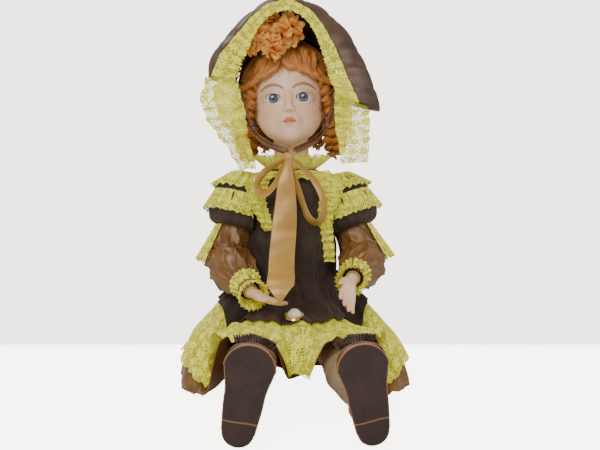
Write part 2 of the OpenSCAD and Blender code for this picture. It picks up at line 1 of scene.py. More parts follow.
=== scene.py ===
# A seated porcelain doll in a velvet, satin and lace costume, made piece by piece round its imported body.
import json
import math
import bmesh
import bpy
import numpy as np
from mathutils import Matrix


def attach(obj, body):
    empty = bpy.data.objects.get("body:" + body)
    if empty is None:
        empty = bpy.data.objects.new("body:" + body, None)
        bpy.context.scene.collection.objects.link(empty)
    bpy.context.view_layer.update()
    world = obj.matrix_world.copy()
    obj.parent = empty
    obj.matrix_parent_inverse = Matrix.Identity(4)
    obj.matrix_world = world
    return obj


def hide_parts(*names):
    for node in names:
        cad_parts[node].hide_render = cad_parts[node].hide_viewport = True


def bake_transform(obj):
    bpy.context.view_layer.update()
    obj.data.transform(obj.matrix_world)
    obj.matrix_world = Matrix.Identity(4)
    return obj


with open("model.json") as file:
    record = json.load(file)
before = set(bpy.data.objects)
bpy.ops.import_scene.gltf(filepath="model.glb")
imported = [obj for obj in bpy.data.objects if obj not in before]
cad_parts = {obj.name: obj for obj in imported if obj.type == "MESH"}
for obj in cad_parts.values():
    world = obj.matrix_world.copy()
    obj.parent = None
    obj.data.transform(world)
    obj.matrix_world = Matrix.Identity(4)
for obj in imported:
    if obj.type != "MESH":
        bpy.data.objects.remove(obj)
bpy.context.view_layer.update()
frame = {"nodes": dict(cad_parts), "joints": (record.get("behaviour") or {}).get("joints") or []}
joint_at = {joint["name"]: np.array(joint["pos_m"]) for joint in frame["joints"]}

# ---------- where the doll sits ----------
# A white table whose far edge is a hand's breadth behind the skirt, under soft, even studio light.
# The camera stands a little above the doll's neck, square to the face, as for a sale picture.
MM = 0.001
doll_turn = math.radians(2.6)
camera_data = bpy.data.cameras.new("studio_camera")
camera_data.lens = 53.4
camera_data.sensor_width = 36
camera = bpy.data.objects.new("studio_camera", camera_data)
camera.location = (-34.6 * MM, -949.4 * MM, 205 * MM)
camera.rotation_euler = (math.radians(90 - 3.06), 0, -doll_turn)
bpy.context.collection.objects.link(camera)
bpy.context.scene.camera = camera


def new_material(name, colour=(0.8, 0.8, 0.8), rough=0.5, **sockets):
    """A material whose Principled shader has these constants straight on its sockets."""
    made = bpy.data.materials.new(name)
    made.use_nodes = True
    shader = made.node_tree.nodes["Principled BSDF"]
    shader.inputs["Base Color"].default_value = (*colour, 1)
    shader.inputs["Roughness"].default_value = rough
    for socket, value in sockets.items():
        shader.inputs[socket.replace("_", " ")].default_value = value
    return made


def wire(tree, kind, **settings):
    """Adds a node. Settings name its properties; inputs, by name or number, take a value or an output."""
    made = tree.nodes.new(kind)
    inputs = settings.pop("inputs", {})
    for name, value in settings.items():
        setattr(made, name, value)
    for name, value in inputs.items():
        if isinstance(value, bpy.types.NodeSocket):
            tree.links.new(value, made.inputs[name])
        else:
            made.inputs[name].default_value = value
    return made


def tones_of(tree, value, low, high, middle=None):
    """A colour ramp from low to high over a value; each tone is a position and a colour."""
    ramp = wire(tree, "ShaderNodeValToRGB", inputs={0: value})
    for stop, (place, colour) in zip(ramp.color_ramp.elements, (low, high)):
        stop.position, stop.color = place, (*colour, 1)
    if middle:
        ramp.color_ramp.elements.new(middle[0]).color = (*middle[1], 1)
    return ramp.outputs[0]


def shade(tree, colour=None, height=None, strength=0.5, distance=0.0004):
    """Joins a colour and a height to a material's Principled shader; the height as a bump."""
    shader = tree.nodes["Principled BSDF"]
    if colour:
        tree.links.new(colour, shader.inputs["Base Color"])
    if height:
        lift = wire(tree, "ShaderNodeBump",
                    inputs={"Strength": strength, "Distance": distance, "Height": height})
        tree.links.new(lift.outputs[0], shader.inputs["Normal"])


def place_on(tree):
    """Where a point is on its own object."""
    return wire(tree, "ShaderNodeTexCoord").outputs["Object"]


table_top = bpy.data.meshes.new("table_top")
table_top.from_pydata(
    [(-3, -3, -0.0004), (3, -3, -0.0004), (3, 0.136, -0.0004), (-3, 0.136, -0.0004)], [], [(0, 1, 2, 3)])
table = bpy.data.objects.new("table_top", table_top)
table.rotation_euler = (0, 0, -doll_turn)
bpy.context.collection.objects.link(table)
table_finish = new_material("white_table", (0.86, 0.83, 0.79), 0.42, Emission_Color=(1, 0.97, 0.93, 1))
tree = table_finish.node_tree
grain = wire(tree, "ShaderNodeTexNoise", inputs={
    "Vector": place_on(tree), "Scale": 9.0, "Detail": 6.0})
shade(tree, tones_of(tree, grain.outputs[0], (0, (0.87, 0.84, 0.80)), (1, (0.93, 0.91, 0.88))))
glow = wire(tree, "ShaderNodeMath", operation="MULTIPLY", inputs={
    0: wire(tree, "ShaderNodeLightPath").outputs["Is Camera Ray"], 1: 6.0})
tree.links.new(glow.outputs[0], tree.nodes["Principled BSDF"].inputs["Emission Strength"])
table_top.materials.append(table_finish)

room = bpy.data.worlds.new("studio_room")
bpy.context.scene.world = room
room.use_nodes = True
room.node_tree.nodes["Background"].inputs["Color"].default_value = (0.93, 0.89, 0.85, 1)
seen = wire(room.node_tree, "ShaderNodeMath", operation="MULTIPLY_ADD", inputs={
    0: wire(room.node_tree, "ShaderNodeLightPath").outputs["Is Camera Ray"], 1: 3.4, 2: 0.5})
room.node_tree.links.new(seen.outputs[0], room.node_tree.nodes["Background"].inputs["Strength"])
for name, place, size, power, colour in (
        ("front_softbox", (-0.35, -1.35, 0.95), 0.7, 13, (1, 0.97, 0.93)),
        ("side_softbox", (1.2, -0.5, 0.9), 0.5, 6, (1, 0.98, 0.96)),
        ("top_softbox", (-0.5, 0.25, 1.3), 0.8, 8, (0.97, 0.98, 1))):
    lamp = bpy.data.lights.new(name, "AREA")
    lamp.energy, lamp.size, lamp.color = power, size, colour
    light = bpy.data.objects.new(name, lamp)
    light.location = place
    aim = np.array([0, -0.05, 0.18]) - np.array(place)
    light.rotation_euler = (math.acos(-aim[2] / np.linalg.norm(aim)), 0,
                            math.atan2(aim[0], -aim[1]) + math.pi)
    bpy.context.collection.objects.link(light)

# ---------- composition body ----------
# Torso, arms, thighs and shins are pressed wood-pulp composition, dipped in flesh paint and varnished.
# The pieces hang on elastic cords, and the head on a steel hook through a wooden button.
aged = bpy.data.node_groups.new("aged_tint", "ShaderNodeTree")
for name, kind in (("Vector", "Vector"), ("Light", "Color"), ("Dark", "Color"), ("Scale", "Float"),
                   ("Spots", "Float")):
    aged.interface.new_socket(name, in_out="INPUT", socket_type="NodeSocket" + kind)
for name, kind in (("Color", "Color"), ("Height", "Float")):
    aged.interface.new_socket(name, in_out="OUTPUT", socket_type="NodeSocket" + kind)
into, out = aged.nodes.new("NodeGroupInput"), aged.nodes.new("NodeGroupOutput")
broad = wire(aged, "ShaderNodeTexNoise", inputs={
    "Vector": into.outputs["Vector"], "Scale": into.outputs["Scale"], "Detail": 5.0, "Roughness": 0.62})
fine_scale = wire(aged, "ShaderNodeMath", operation="MULTIPLY", inputs={0: into.outputs["Scale"], 1: 14.0})
speck = wire(aged, "ShaderNodeTexNoise", inputs={
    "Vector": into.outputs["Vector"], "Scale": fine_scale.outputs[0], "Detail": 3.0})
share = wire(aged, "ShaderNodeMapRange", inputs={0: broad.outputs[0], 1: 0.32, 2: 0.68})
specks = wire(aged, "ShaderNodeMapRange", inputs={0: speck.outputs[0], 1: 0.55, 2: 0.72})
spotted = wire(aged, "ShaderNodeMath", operation="MULTIPLY_ADD", use_clamp=True, inputs={
    0: specks.outputs[0], 1: into.outputs["Spots"], 2: share.outputs[0]})
blend = wire(aged, "ShaderNodeMix", data_type="RGBA", inputs={
    0: spotted.outputs[0], 6: into.outputs["Light"], 7: into.outputs["Dark"]})
aged.links.new(blend.outputs[2], out.inputs["Color"])
aged.links.new(speck.outputs[0], out.inputs["Height"])


def mottled(name, light, dark, rough, scale, spots=0.2, bump=0.1, **sockets):
    """A material that wanders between two colours over its surface, with a fine grain in its height."""
    made = new_material(name, light, rough, **sockets)
    tree = made.node_tree
    group = wire(tree, "ShaderNodeGroup", node_tree=aged)
    for socket, value in (("Light", (*light, 1)), ("Dark", (*dark, 1)), ("Scale", scale), ("Spots", spots)):
        group.inputs[socket].default_value = value
    tree.links.new(place_on(tree), group.inputs["Vector"])
    shade(tree, group.outputs["Color"], group.outputs["Height"], bump)
    return made


def repaint(material, *names):
    """Gives CAD nodes this material in their own slots."""
    for name in names:
        mesh = frame["nodes"][name].data
        mesh.materials.clear()
        mesh.materials.append(material)


both = ("left", "right")
repaint(mottled("flesh_composition", (0.74, 0.47, 0.31), (0.62, 0.35, 0.21), 0.36, 45, 0.25, 0.08,
                Coat_Weight=0.35),
        "torso", *(f"{part}_{side}" for part in ("upper_arm", "elbow_ball", "forearm", "thigh", "shin")
                   for side in both))
repaint(mottled("elastic_cord", (0.72, 0.68, 0.58), (0.52, 0.47, 0.38), 0.85, 400, 0.5, 0.5), "arm_elastic",
        "leg_elastic")
repaint(mottled("hook_steel", (0.55, 0.55, 0.56), (0.33, 0.32, 0.31), 0.3, 300, 0.3, 0.1, Metallic=1.0),
        "neck_hook")
repaint(mottled("turned_beech", (0.60, 0.38, 0.19), (0.45, 0.26, 0.12), 0.55, 120, 0.3, 0.3), "neck_button")

# ---------- bisque hands ----------
# Each hand is poured bisque with a ball at the wrist, spread fingers with tinted tips, and a thumb.
# The glaze is matt, like an eggshell, and the fingertips, the knuckles and the thumb's tip are washed with
# rose.
def unit(v):
    """Vectors divided by their own lengths."""
    v = np.asarray(v, float)
    return v / np.linalg.norm(v, axis=-1, keepdims=True)


def ease(t):
    """A share from 0 to 1 that starts and ends without a jolt: 3 t^2 - 2 t^3, held between 0 and 1."""
    t = np.clip(t, 0, 1)
    return t * t * (3 - 2 * t)


def surface(name, grid, wrap=(False, False), flip=False, uv=None, material=None, weld=False, smooth=True):
    """A mesh from one grid of points in millimetres, rows by columns, or from many equal grids at once.
    Each cell of four neighbours is a face; wrap joins the last row or column to the first. Without uv,
    the map is the distance in millimetres down and across the grid, so that a weave keeps its scale."""
    grids = grid[None] if grid.ndim == 3 else grid
    count, rows, cols = grids.shape[:3]
    index = np.arange(count * rows * cols).reshape(count, rows, cols)
    points = grids
    if wrap[0]:
        index, points = np.concatenate([index, index[:, :1]], 1), np.concatenate([points, points[:, :1]], 1)
    if wrap[1]:
        index, points = np.concatenate([index, index[:, :, :1]],
                                       2), np.concatenate([points, points[:, :, :1]], 2)
    if uv is None:
        down = np.linalg.norm(np.diff(points, axis=1), axis=3).mean(2).cumsum(1)
        side = np.linalg.norm(np.diff(points, axis=2), axis=3).mean(1).cumsum(1)
        zero = np.zeros((count, 1))
        down, side = np.concatenate([zero, down], 1), np.concatenate([zero, side], 1)
        uv = np.stack(np.broadcast_arrays(side[:, None, :], down[:, :, None]), -1)
    else:
        uv = uv[None] if uv.ndim == 3 else uv

    def corners(a):
        return np.stack([a[:, :-1, :-1], a[:, 1:, :-1], a[:, 1:, 1:], a[:, :-1, 1:]], 3)

    faces = corners(index).reshape(-1, 4)
    face_uv = corners(uv).reshape(-1, 4, 2)
    if flip:
        faces, face_uv = faces[:, ::-1], face_uv[:, ::-1]
    mesh = bpy.data.meshes.new(name)
    mesh.from_pydata((grids.reshape(-1, 3) * MM).tolist(), [], faces.tolist())
    mesh.uv_layers.new(name="cloth").data.foreach_set("uv", face_uv.astype(np.float32).ravel())
    if smooth:
        mesh.polygons.foreach_set("use_smooth", np.ones(len(faces), bool))
    piece = bpy.data.objects.new(name, mesh)
    bpy.context.collection.objects.link(piece)
    if weld:
        shaped = bmesh.new()
        shaped.from_mesh(mesh)
        bmesh.ops.remove_doubles(shaped, verts=shaped.verts, dist=2e-6)
        bmesh.ops.dissolve_degenerate(shaped, dist=1e-7, edges=shaped.edges)
        shaped.to_mesh(mesh)
        shaped.free()
    if material:
        mesh.materials.append(material)
    return piece


def round_capsule(a, b, ra, rb, rows=16, cols=16):
    """A round-ended rod: a circle carried from a to b, whose radius follows a half circle at each end."""
    a, b = np.asarray(a, float), np.asarray(b, float)
    way = unit(b - a)
    side = unit(np.cross(way, [0.31, 0.17, 0.93]))
    up = np.cross(way, side)
    turn = np.linspace(0, 2 * math.pi, cols, endpoint=False)
    bow = np.linspace(0, math.pi, rows)
    first = bow < math.pi / 2
    middle = np.where(first[:, None], a, b) - np.cos(bow)[:, None] * way * np.where(first, ra, rb)[:, None]
    radius = np.sin(bow) * np.where(first, ra, rb)
    ring = np.cos(turn)[:, None] * side + np.sin(turn)[:, None] * up
    return middle[:, None] + radius[:, None, None] * ring


def grown_together(name, rods, voxel, rounds, material):
    """Rods and balls melted into one skin: a voxel remesh of them all, then a smoothing pass."""
    piece = surface(name, np.stack(rods), (False, True), weld=True)
    for kind, settings in (("REMESH", {"mode": "VOXEL", "voxel_size": voxel * MM, "use_smooth_shade": True}),
                           ("SMOOTH", {"factor": 0.5, "iterations": rounds})):
        modifier = piece.modifiers.new(kind.lower(), kind)
        for key, value in settings.items():
            setattr(modifier, key, value)
    shaped = bpy.data.meshes.new_from_object(piece.evaluated_get(bpy.context.evaluated_depsgraph_get()))
    piece.modifiers.clear()
    piece.data = shaped
    shaped.materials.clear()
    shaped.materials.append(material)
    shaped.polygons.foreach_set("use_smooth", np.ones(len(shaped.polygons), bool))
    return piece


def painted(piece, colours):
    """Stores one painted colour for each vertex, in an attribute that the glaze reads."""
    layer = piece.data.color_attributes.new("paint", "FLOAT_COLOR", "POINT")
    layer.data.foreach_set("color",
                           np.column_stack([colours, np.ones(len(colours))]).astype(np.float32).ravel())


def places(piece):
    """A piece's vertices in millimetres, as one array."""
    co = np.empty(len(piece.data.vertices) * 3, np.float32)
    piece.data.vertices.foreach_get("co", co)
    return co.reshape(-1, 3).astype(float) / MM


bisque_tint = np.array([0.90, 0.62, 0.42])
rose_wash = np.array([0.86, 0.42, 0.30])
bisque = new_material("painted_bisque", tuple(bisque_tint), 0.42, Coat_Weight=0.18, Coat_Roughness=0.35,
                      Subsurface_Weight=0.12, Subsurface_Radius=(0.004, 0.0018, 0.001), Subsurface_Scale=1.0)
tree = bisque.node_tree
paint = wire(tree, "ShaderNodeVertexColor", layer_name="paint")
cloud = wire(tree, "ShaderNodeTexNoise", inputs={
    "Vector": place_on(tree), "Scale": 130.0, "Detail": 4.0})
cloud_tint = tones_of(tree, cloud.outputs[0], (0, (0.95, 0.93, 0.91)), (1, (1, 1, 1)))
washed = wire(tree, "ShaderNodeMix", data_type="RGBA", blend_type="MULTIPLY", inputs={
    0: 1.0, 6: paint.outputs[0], 7: cloud_tint})
pits = wire(tree, "ShaderNodeTexNoise", inputs={
    "Vector": place_on(tree), "Scale": 2600.0, "Detail": 2.0})
shade(tree, washed.outputs[2], pits.outputs[0], 0.06, 0.0002)

hand_ways = {"left": unit([-0.25, -0.62, -0.6]), "right": unit([0.66, -0.66, -0.28])}
for side, sign in (("left", 1), ("right", -1)):
    wrist = joint_at[f"wrist_{side}_twist"] / MM
    way = hand_ways[side]
    across = unit(np.cross(way, [0, 0, 1]) + [0, 0, 0.9 if side == "left" else 0.25])
    down = unit(np.cross(across, way))
    spread = 0.35 if side == "left" else 1.0
    rods = [round_capsule(wrist, wrist + way * 0.1, 6.5, 6.4),
            round_capsule(wrist + way * 4, wrist + way * 9, 5.3, 5.6)]
    rods += [round_capsule(wrist + way * 8 + across * k * 1.5, wrist + way * 20 + across * k * 6.4, 4.6, 3.5)
             for k in (-1.0, -0.35, 0.35, 1.0)]
    tips = []
    for i, length in enumerate((17, 21, 20, 17)):
        u = (i - 1.5) / 1.5
        root = wrist + way * 20 + across * u * 7.2
        first = root + unit(way + across * u * 0.4 * spread + down * 0.1) * length * 0.42
        second = first + unit(way + across * u * 0.34 * spread + down * 0.32) * length * 0.33
        tip = second + unit(way + across * u * 0.26 * spread + down * 0.6) * length * 0.26
        rods += [round_capsule(root, first, 2.9, 2.55), round_capsule(first, second, 2.5, 2.2),
                 round_capsule(second, tip, 2.15, 1.75)]
        tips += [tip, first]
    ball, knuckle, thumb = (wrist + way * 6 + across * sign * 4.5, wrist + way * 13 + across * sign * 10.5,
                            wrist + way * 20 + across * sign * 13.4 + down * 1.5)
    rods += [round_capsule(ball, knuckle, 3.9, 3.0), round_capsule(knuckle, thumb, 2.8, 2.2)]
    hand = grown_together(f"bisque_hand_{side}", rods, 0.55, 5, bisque)
    near = np.min([np.linalg.norm(places(hand) - tip, axis=1) for tip in (*tips, thumb)], axis=0)
    wash = 0.55 * np.exp(-(near / 3.2) ** 2)[:, None]
    painted(hand, bisque_tint * (1 - wash) + rose_wash * wash)
    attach(hand, f"hand_{side}")
    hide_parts(f"hand_{side}")

# ---------- bisque head ----------
# A socket head, cast in one mould, its crown cut away for the eyes and closed by a pate under the wig.
# It is fired with painted lips, brows, lashes and a blush, and sits in the neck cup by a rounded neck.
neck = joint_at["head_turn"] / MM
lean, face_turn = math.radians(-3), math.radians(-2.5)
lean_turn = np.array([[math.cos(lean), 0, math.sin(lean)], [0, 1, 0], [-math.sin(lean), 0, math.cos(lean)]])
side_turn = np.array([[math.cos(face_turn), -math.sin(face_turn), 0],
                      [math.sin(face_turn), math.cos(face_turn), 0],
                      [0, 0, 1]])


def on_head(points):
    """Points laid out on a level head, turned about the neck ball as the head sits."""
    return (np.asarray(points) - neck) @ (lean_turn @ side_turn).T + neck


def ball(p, middle, radii):
    """How far points are outside an ellipsoid: (|q| - 1) |q| / |q over the radii|, where q is p over the
    radii."""
    q = (p - middle) / radii
    length = np.linalg.norm(q, axis=-1)
    return (length - 1) * length / np.maximum(np.linalg.norm(q / np.asarray(radii, float), axis=-1), 1e-9)


def melt(a, b, k):
    """The nearer of two distances, with the crease between them filled to a width k."""
    h = np.maximum(k - np.abs(a - b), 0) / k
    return np.minimum(a, b) - h * h * k / 4


def carve(a, b, k):
    """Takes b away from a, with a rounded edge of width k."""
    return -melt(-a, b, k)


def bar(p, a, b, ra, rb):
    """Distance to a round bar from a to b whose radius changes evenly."""
    a, b = np.array(a, float), np.array(b, float)
    t = np.clip(((p - a) @ (b - a)) / ((b - a) @ (b - a)), 0, 1)
    return np.linalg.norm(p - (a + t[..., None] * (b - a)), axis=-1) - (ra + (rb - ra) * t)


def head_distance(p):
    """Distance to the head's skin: skull, face, cheeks, jaw, chin, nose, lips, lids and ears melted together.
    The left half is mirrored from the right, so x counts as its own size."""
    q = np.stack([np.abs(p[..., 0]), p[..., 1], p[..., 2]], -1)
    d = melt(ball(q, (0, 6, 303), (42.5, 45, 43)), ball(q, (0, -9.5, 281), (34.5, 33.8, 37)), 9)
    d = melt(d, ball(q, (14.5, -18.5, 266), (18.3, 18.5, 17)), 6)
    d = melt(d, ball(q, (0, -19, 256), (25, 20, 15)), 6)
    d = melt(d, ball(q, (0, -31.5, 251.3), (11, 12.2, 11.5)), 7)
    d = melt(d, bar(q, (0, 2, 200), (0, 2, 262), 18.4, 18.4), 4)
    d = melt(d, ball(q, (0, -37.2, 262.8), (11.5, 9, 9)), 5)
    d = carve(d, ball(q, (8.4, -45.6, 289), (5.2, 4.2, 7)), 5)
    d = melt(d, ball(q, (15.5, -30.7, 286.1), (11.4, 10.6, 9.2)), 2.2)
    d = melt(d, bar(q, (0, -41.3, 290), (0, -47.2, 276.2), 2.4, 3.7), 4)
    d = melt(d, ball(q, (3.9, -43.9, 274.6), (2.9, 3.6, 2.7)), 1.8)
    d = carve(d, ball(q, (2.0, -48.0, 272.2), (1.2, 1.7, 0.9)), 0.8)
    d = carve(d, bar(q, (0, -48.2, 272), (0, -48.0, 268.5), 0.9, 1.2), 1.6)
    rise = 2.1 * np.exp(-((q[..., 0] - 2.3) / 2.4) ** 2)
    d = melt(d, bar(q, (0, -45.6, 264.0), (5.2, -42.9, 262.6), 1.9, 0.7) - 0.15 * rise, 1.2)
    d = melt(d, bar(q, (0, -45.0, 259.7), (4.1, -43.1, 260.6), 1.85, 0.8), 1.2)
    d = carve(d, bar(q, (0, -47.9, 261.75), (6.3, -43.9, 262.1), 0.75, 0.5), 0.9)
    d = carve(d, ball(q, (0, -45.7, 254.8), (4.5, 1.7, 1.5)), 2)
    d = melt(d, carve(ball(q, (33.5, -3.5, 271.5), (3.6, 6.2, 9.8)),
                      ball(q, (37.2, -6, 273), (2.2, 3, 5)), 1.5), 1.5)
    return d


def lid_edge(x, z):
    """How far above the upper or below the lower lid's edge a point of the face is, in millimetres;
    less than 0 is between the lids. Each edge is a bow over the eye, 15.8 wide; the lower one is flatter."""
    u = np.clip((np.abs(x) - 15.6) / 7.9, -1.6, 1.6)
    bow = np.sqrt(np.maximum(1 - u * u, 0))
    above = (z - 286.0) - 4.7 * bow ** 1.15
    below = (285.8 - z) - 4.2 * bow ** 1.25
    return np.where(np.abs(u) < 1, np.maximum(above, below), 3 + 0 * above)


rows, cols = 262, 350
bend = np.concatenate([np.linspace(0.004, 0.78, 190, endpoint=False),
                       np.linspace(0.78, math.pi - 0.004, rows - 190)])
turn = np.linspace(0, 2 * math.pi, cols, endpoint=False)
middle = np.array([0, -2, 283.0])
ray = np.stack([np.sin(bend)[:, None] * np.cos(turn), -np.cos(bend)[:, None] + 0 * turn,
                np.sin(bend)[:, None] * np.sin(turn)], -1)
near, far = np.full(ray.shape[:2], 5.0), np.full(ray.shape[:2], 90.0)
for _ in range(26):
    guess = (near + far) / 2
    inside = head_distance(middle + ray * guess[..., None]) < 0
    near, far = np.where(inside, guess, near), np.where(inside, far, guess)
skin = middle + ray * near[..., None]
floor_cut = (skin[..., 2] < neck[2] - 17) & (ray[..., 2] < -0.5)
reach = np.where(floor_cut, (neck[2] - 17 - middle[2]) / np.minimum(ray[..., 2], -0.5), near)
skin = middle + ray * reach[..., None]
front = skin[..., 1] < -22
opening = np.where(front, lid_edge(skin[..., 0], skin[..., 2]), 3)
skin[..., 1] += 9.0 * ease(-opening / 0.45 + 0.25)

head = surface("bisque_head", on_head(skin), (False, True), flip=False, weld=True, material=bisque)
local = (places(head) - neck) @ (lean_turn @ side_turn) + neck
x, y, z = local.T
side_x = np.abs(x)
front = y < -20


def wash(mask, colour, under):
    """Lays a colour over another by a mask from 0 to 1."""
    return under * (1 - mask[:, None]) + np.array(colour) * mask[:, None]


def near_curve(points, x, z):
    """Distance from points of the face to a drawn line, and the share of the way along it."""
    path = along(points, 60)
    gap = np.linalg.norm(np.stack([x, z], -1)[:, None] - path[None], axis=2)
    return gap.min(1), gap.argmin(1) / 59


def along(points, count, closed=False):
    """Evenly spaced points on a smooth curve through the given ones: each stretch is a cubic whose
    slope at a given point is half the step between that point's neighbours."""
    p = np.asarray(points, float)
    n = len(p)
    ends = np.concatenate([p[-1:], p, p[:2]]) if closed else np.concatenate(
        [2 * p[:1] - p[1:2], p, 2 * p[-1:] - p[-2:-1]])
    steps = n if closed else n - 1
    s = np.linspace(0, steps, 40 * steps + 1)
    k = np.minimum(s.astype(int), steps - 1)
    t = (s - k)[:, None]
    a, b, c, d = ends[k], ends[k + 1], ends[k + 2], ends[k + 3]
    curve = b + t * (c - a) / 2 + t ** 2 * (2 * a - 5 * b + 4 * c - d) / 2 + t ** 3 * (
        3 * b - a - 3 * c + d) / 2
    length = np.concatenate([[0], np.linalg.norm(np.diff(curve[:, :3], axis=0), axis=1).cumsum()])
    at = np.linspace(0, length[-1], count + 1)[:-1] if closed else np.linspace(0, length[-1], count)
    return np.stack([np.interp(at, length, curve[:, i]) for i in range(p.shape[1])], -1)


colour = np.tile(bisque_tint, (len(x), 1))
colour = wash(0.40 * front * np.exp(-((side_x - 22) / 9.5) ** 2 - ((z - 268) / 8.5) ** 2),
              (0.88, 0.33, 0.17), colour)
colour = wash(0.22 * front * np.exp(-((side_x - 12) / 9) ** 2 - ((z - 272) / 5) ** 2),
              (0.93, 0.50, 0.44), colour)
colour = wash(0.18 * front * np.exp(-(x / 7) ** 2 - ((z - 246) / 4) ** 2), (0.88, 0.45, 0.30), colour)
colour = wash(0.30 * front * np.exp(-(np.hypot(side_x - 15.5, (z - 288.5)) / 8.6) ** 6) * (z > 286),
              (0.80, 0.50, 0.40), colour)
edge = lid_edge(x, z)
# The thin darker line over each upper lid is painted shade, standing for the shadow of a lid crease that the
# head's shape does not carve.
gap, share = near_curve([(8.6, 290.0), (11.5, 293.0), (15.5, 294.2), (19.6, 293.0), (23.2, 289.2)], side_x, z)
colour = wash(0.42 * front * np.exp(-(gap / 0.5) ** 2), (0.55, 0.25, 0.16), colour)
above = z > 286.1
colour = wash(0.95 * front * above * np.exp(-((edge - 0.1) / 0.6) ** 2), (0.10, 0.045, 0.03), colour)
colour = wash(0.55 * front * ~above * np.exp(-((edge - 0.1) / 0.32) ** 2), (0.42, 0.17, 0.11), colour)
fan = np.arctan2(z - 280.5, side_x - 15.5)
lash = np.clip(1 - np.abs(((fan * 15.5) % 1) - 0.5) / 0.24, 0, 1)
reach_up = ease((1.5 - edge) / 0.7) * ease((edge + 0.1) / 0.2)
colour = wash(0.8 * front * above * lash * reach_up * (side_x < 24.5), (0.12, 0.055, 0.035), colour)
fan = np.arctan2(290.5 - z, side_x - 15.5)
lash = np.clip(1 - np.abs(((fan * 13) % 1) - 0.5) / 0.2, 0, 1)
reach_down = ease((1.45 - edge) / 0.5) * ease((edge - 0.35) / 0.2)
colour = wash(0.62 * front * ~above * lash * reach_down * (np.abs(side_x - 15.5) < 7.4),
              (0.20, 0.09, 0.06), colour)
gap, share = near_curve([(5.2, 296.0), (8.5, 298.2), (13.5, 299.8), (18.5, 299.7), (23.5, 297.8),
                         (28.0, 294.4)], side_x, z)
thick = 0.75 + 1.0 * np.sin(math.pi * np.clip(share * 0.9 + 0.08, 0, 1)) ** 0.8
hairs = 0.72 + 0.28 * np.sin((side_x * 1.15 + z * 0.9) * 5.2)
colour = wash(0.95 * front * np.exp(-(gap / thick) ** 4) * hairs, (0.13, 0.045, 0.018), colour)
cupid = 262.0 + (5.0 - 0.55 * np.abs(side_x - 2.6) - 0.028 * side_x ** 2.2) * np.clip(
    (7.4 - side_x) / 1.6, 0, 1)
lower = 261.7 - 3.3 * np.sqrt(np.clip(1 - (side_x / 6.3) ** 2, 0, 1))
upper_lip = ease((cupid - z) / 0.5) * ease((z - 261.4) / 0.4) * (side_x < 7.3)
lower_lip = ease((z - lower) / 0.5) * ease((262.1 - z) / 0.4) * (side_x < 6.4)
colour = wash(0.86 * front * upper_lip, (0.70, 0.11, 0.035), colour)
colour = wash(0.74 * front * lower_lip, (0.80, 0.19, 0.075), colour)
gap, share = near_curve([(0, 261.55), (2.2, 261.9), (4.6, 261.6), (7.0, 262.4)], side_x, z)
colour = wash(0.85 * front * np.exp(-(gap / 0.36) ** 2), (0.33, 0.045, 0.03), colour)
gap = np.hypot((side_x - 2.1) / 1.15, (z - 272.4) / 0.75)
colour = wash(0.7 * front * np.exp(-gap ** 2) * (y < -44), (0.62, 0.20, 0.13), colour)
colour = wash(0.45 * front * np.exp(-(np.hypot(side_x - 8.6, z - 285.6) / 0.9) ** 2),
              (0.75, 0.22, 0.16), colour)
painted(head, np.clip(colour, 0, 1))
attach(head, "head")
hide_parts("head_shell")

# ---------- glass eyes ----------
# Blown glass balls with a threaded blue iris under a clear dome, set in plaster behind the lids.
eye_glass = new_material("eye_glass", (0.8, 0.8, 0.8), 0.06, Coat_Weight=1.0, Coat_Roughness=0.02,
                         Specular_IOR_Level=0.6)
tree = eye_glass.node_tree
tree.links.new(wire(tree, "ShaderNodeVertexColor", layer_name="paint").outputs[0],
               tree.nodes["Principled BSDF"].inputs["Base Color"])
for side, sign in (("left", 1), ("right", -1)):
    socket = np.array([sign * 15.5, -30.8, 286.0])
    bend = np.concatenate([np.linspace(0.001, 0.72, 110, endpoint=False),
                           np.linspace(0.72, math.pi - 0.001, 40)])
    turn = np.linspace(0, 2 * math.pi, 240, endpoint=False)
    look = unit([-sign * 0.012 + 0.01, -1, -0.01])
    side_way = unit(np.cross(look, [0, 0, 1]))
    up_way = np.cross(side_way, look)
    radius = 9.42 + 0.12 * np.exp(-(bend / 0.42) ** 4)
    eye = socket + radius[:, None, None] * (
        np.cos(bend)[:, None, None] * look + np.sin(bend)[:, None, None]
        * (np.cos(turn)[:, None] * side_way + np.sin(turn)[:, None] * up_way))
    eyeball = surface(f"eyeball_{side}", on_head(eye), (False, True), weld=True, material=eye_glass)
    spread_out = (places(eyeball) - neck) @ (lean_turn @ side_turn) + neck - socket
    out = np.arccos(np.clip(spread_out @ look / np.linalg.norm(spread_out, axis=1), -1, 1)) * 9.5
    around = np.arctan2(spread_out @ up_way, spread_out @ side_way)
    thread = sum(np.sin(around * k + p) * a for k, p, a in
                 ((23, 0.3, 0.3), (41, 1.1, 0.28), (67, 2.3, 0.24), (109, 0.7, 0.18)))
    thread = 0.5 + 0.5 * thread * np.clip((out - 1.7) / 1.5, 0, 1)
    blue = wash(np.clip(thread, 0, 1), (0.07, 0.14, 0.28), np.tile([0.006, 0.02, 0.075], (len(out), 1)))
    blue = wash(np.exp(-((out - 2.4) / 0.55) ** 2) * 0.5, (0.13, 0.19, 0.32), blue)
    blue = wash(ease((out - 4.2) / 0.8), (0.012, 0.02, 0.05), blue)
    tint = wash(ease((out - 5.0) / 0.35), (0.80, 0.79, 0.78), blue)
    tint = wash(1 - ease((out - 2.1) / 0.3), (0.004, 0.005, 0.012), tint)
    tint = wash(0.35 * ease((out - 7.2) / 2.5), (0.75, 0.45, 0.42), tint)
    painted(eyeball, np.clip(tint, 0, 1))
    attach(eyeball, "head")
    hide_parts(f"eye_{side}")
repaint(mottled("eye_plaster_white", (0.82, 0.79, 0.74), (0.70, 0.66, 0.60), 0.9, 140, 0.4, 0.5),
        "eye_plaster")
repaint(mottled("pate_card", (0.42, 0.30, 0.18), (0.33, 0.22, 0.13), 0.88, 220, 0.5, 0.4), "pate")

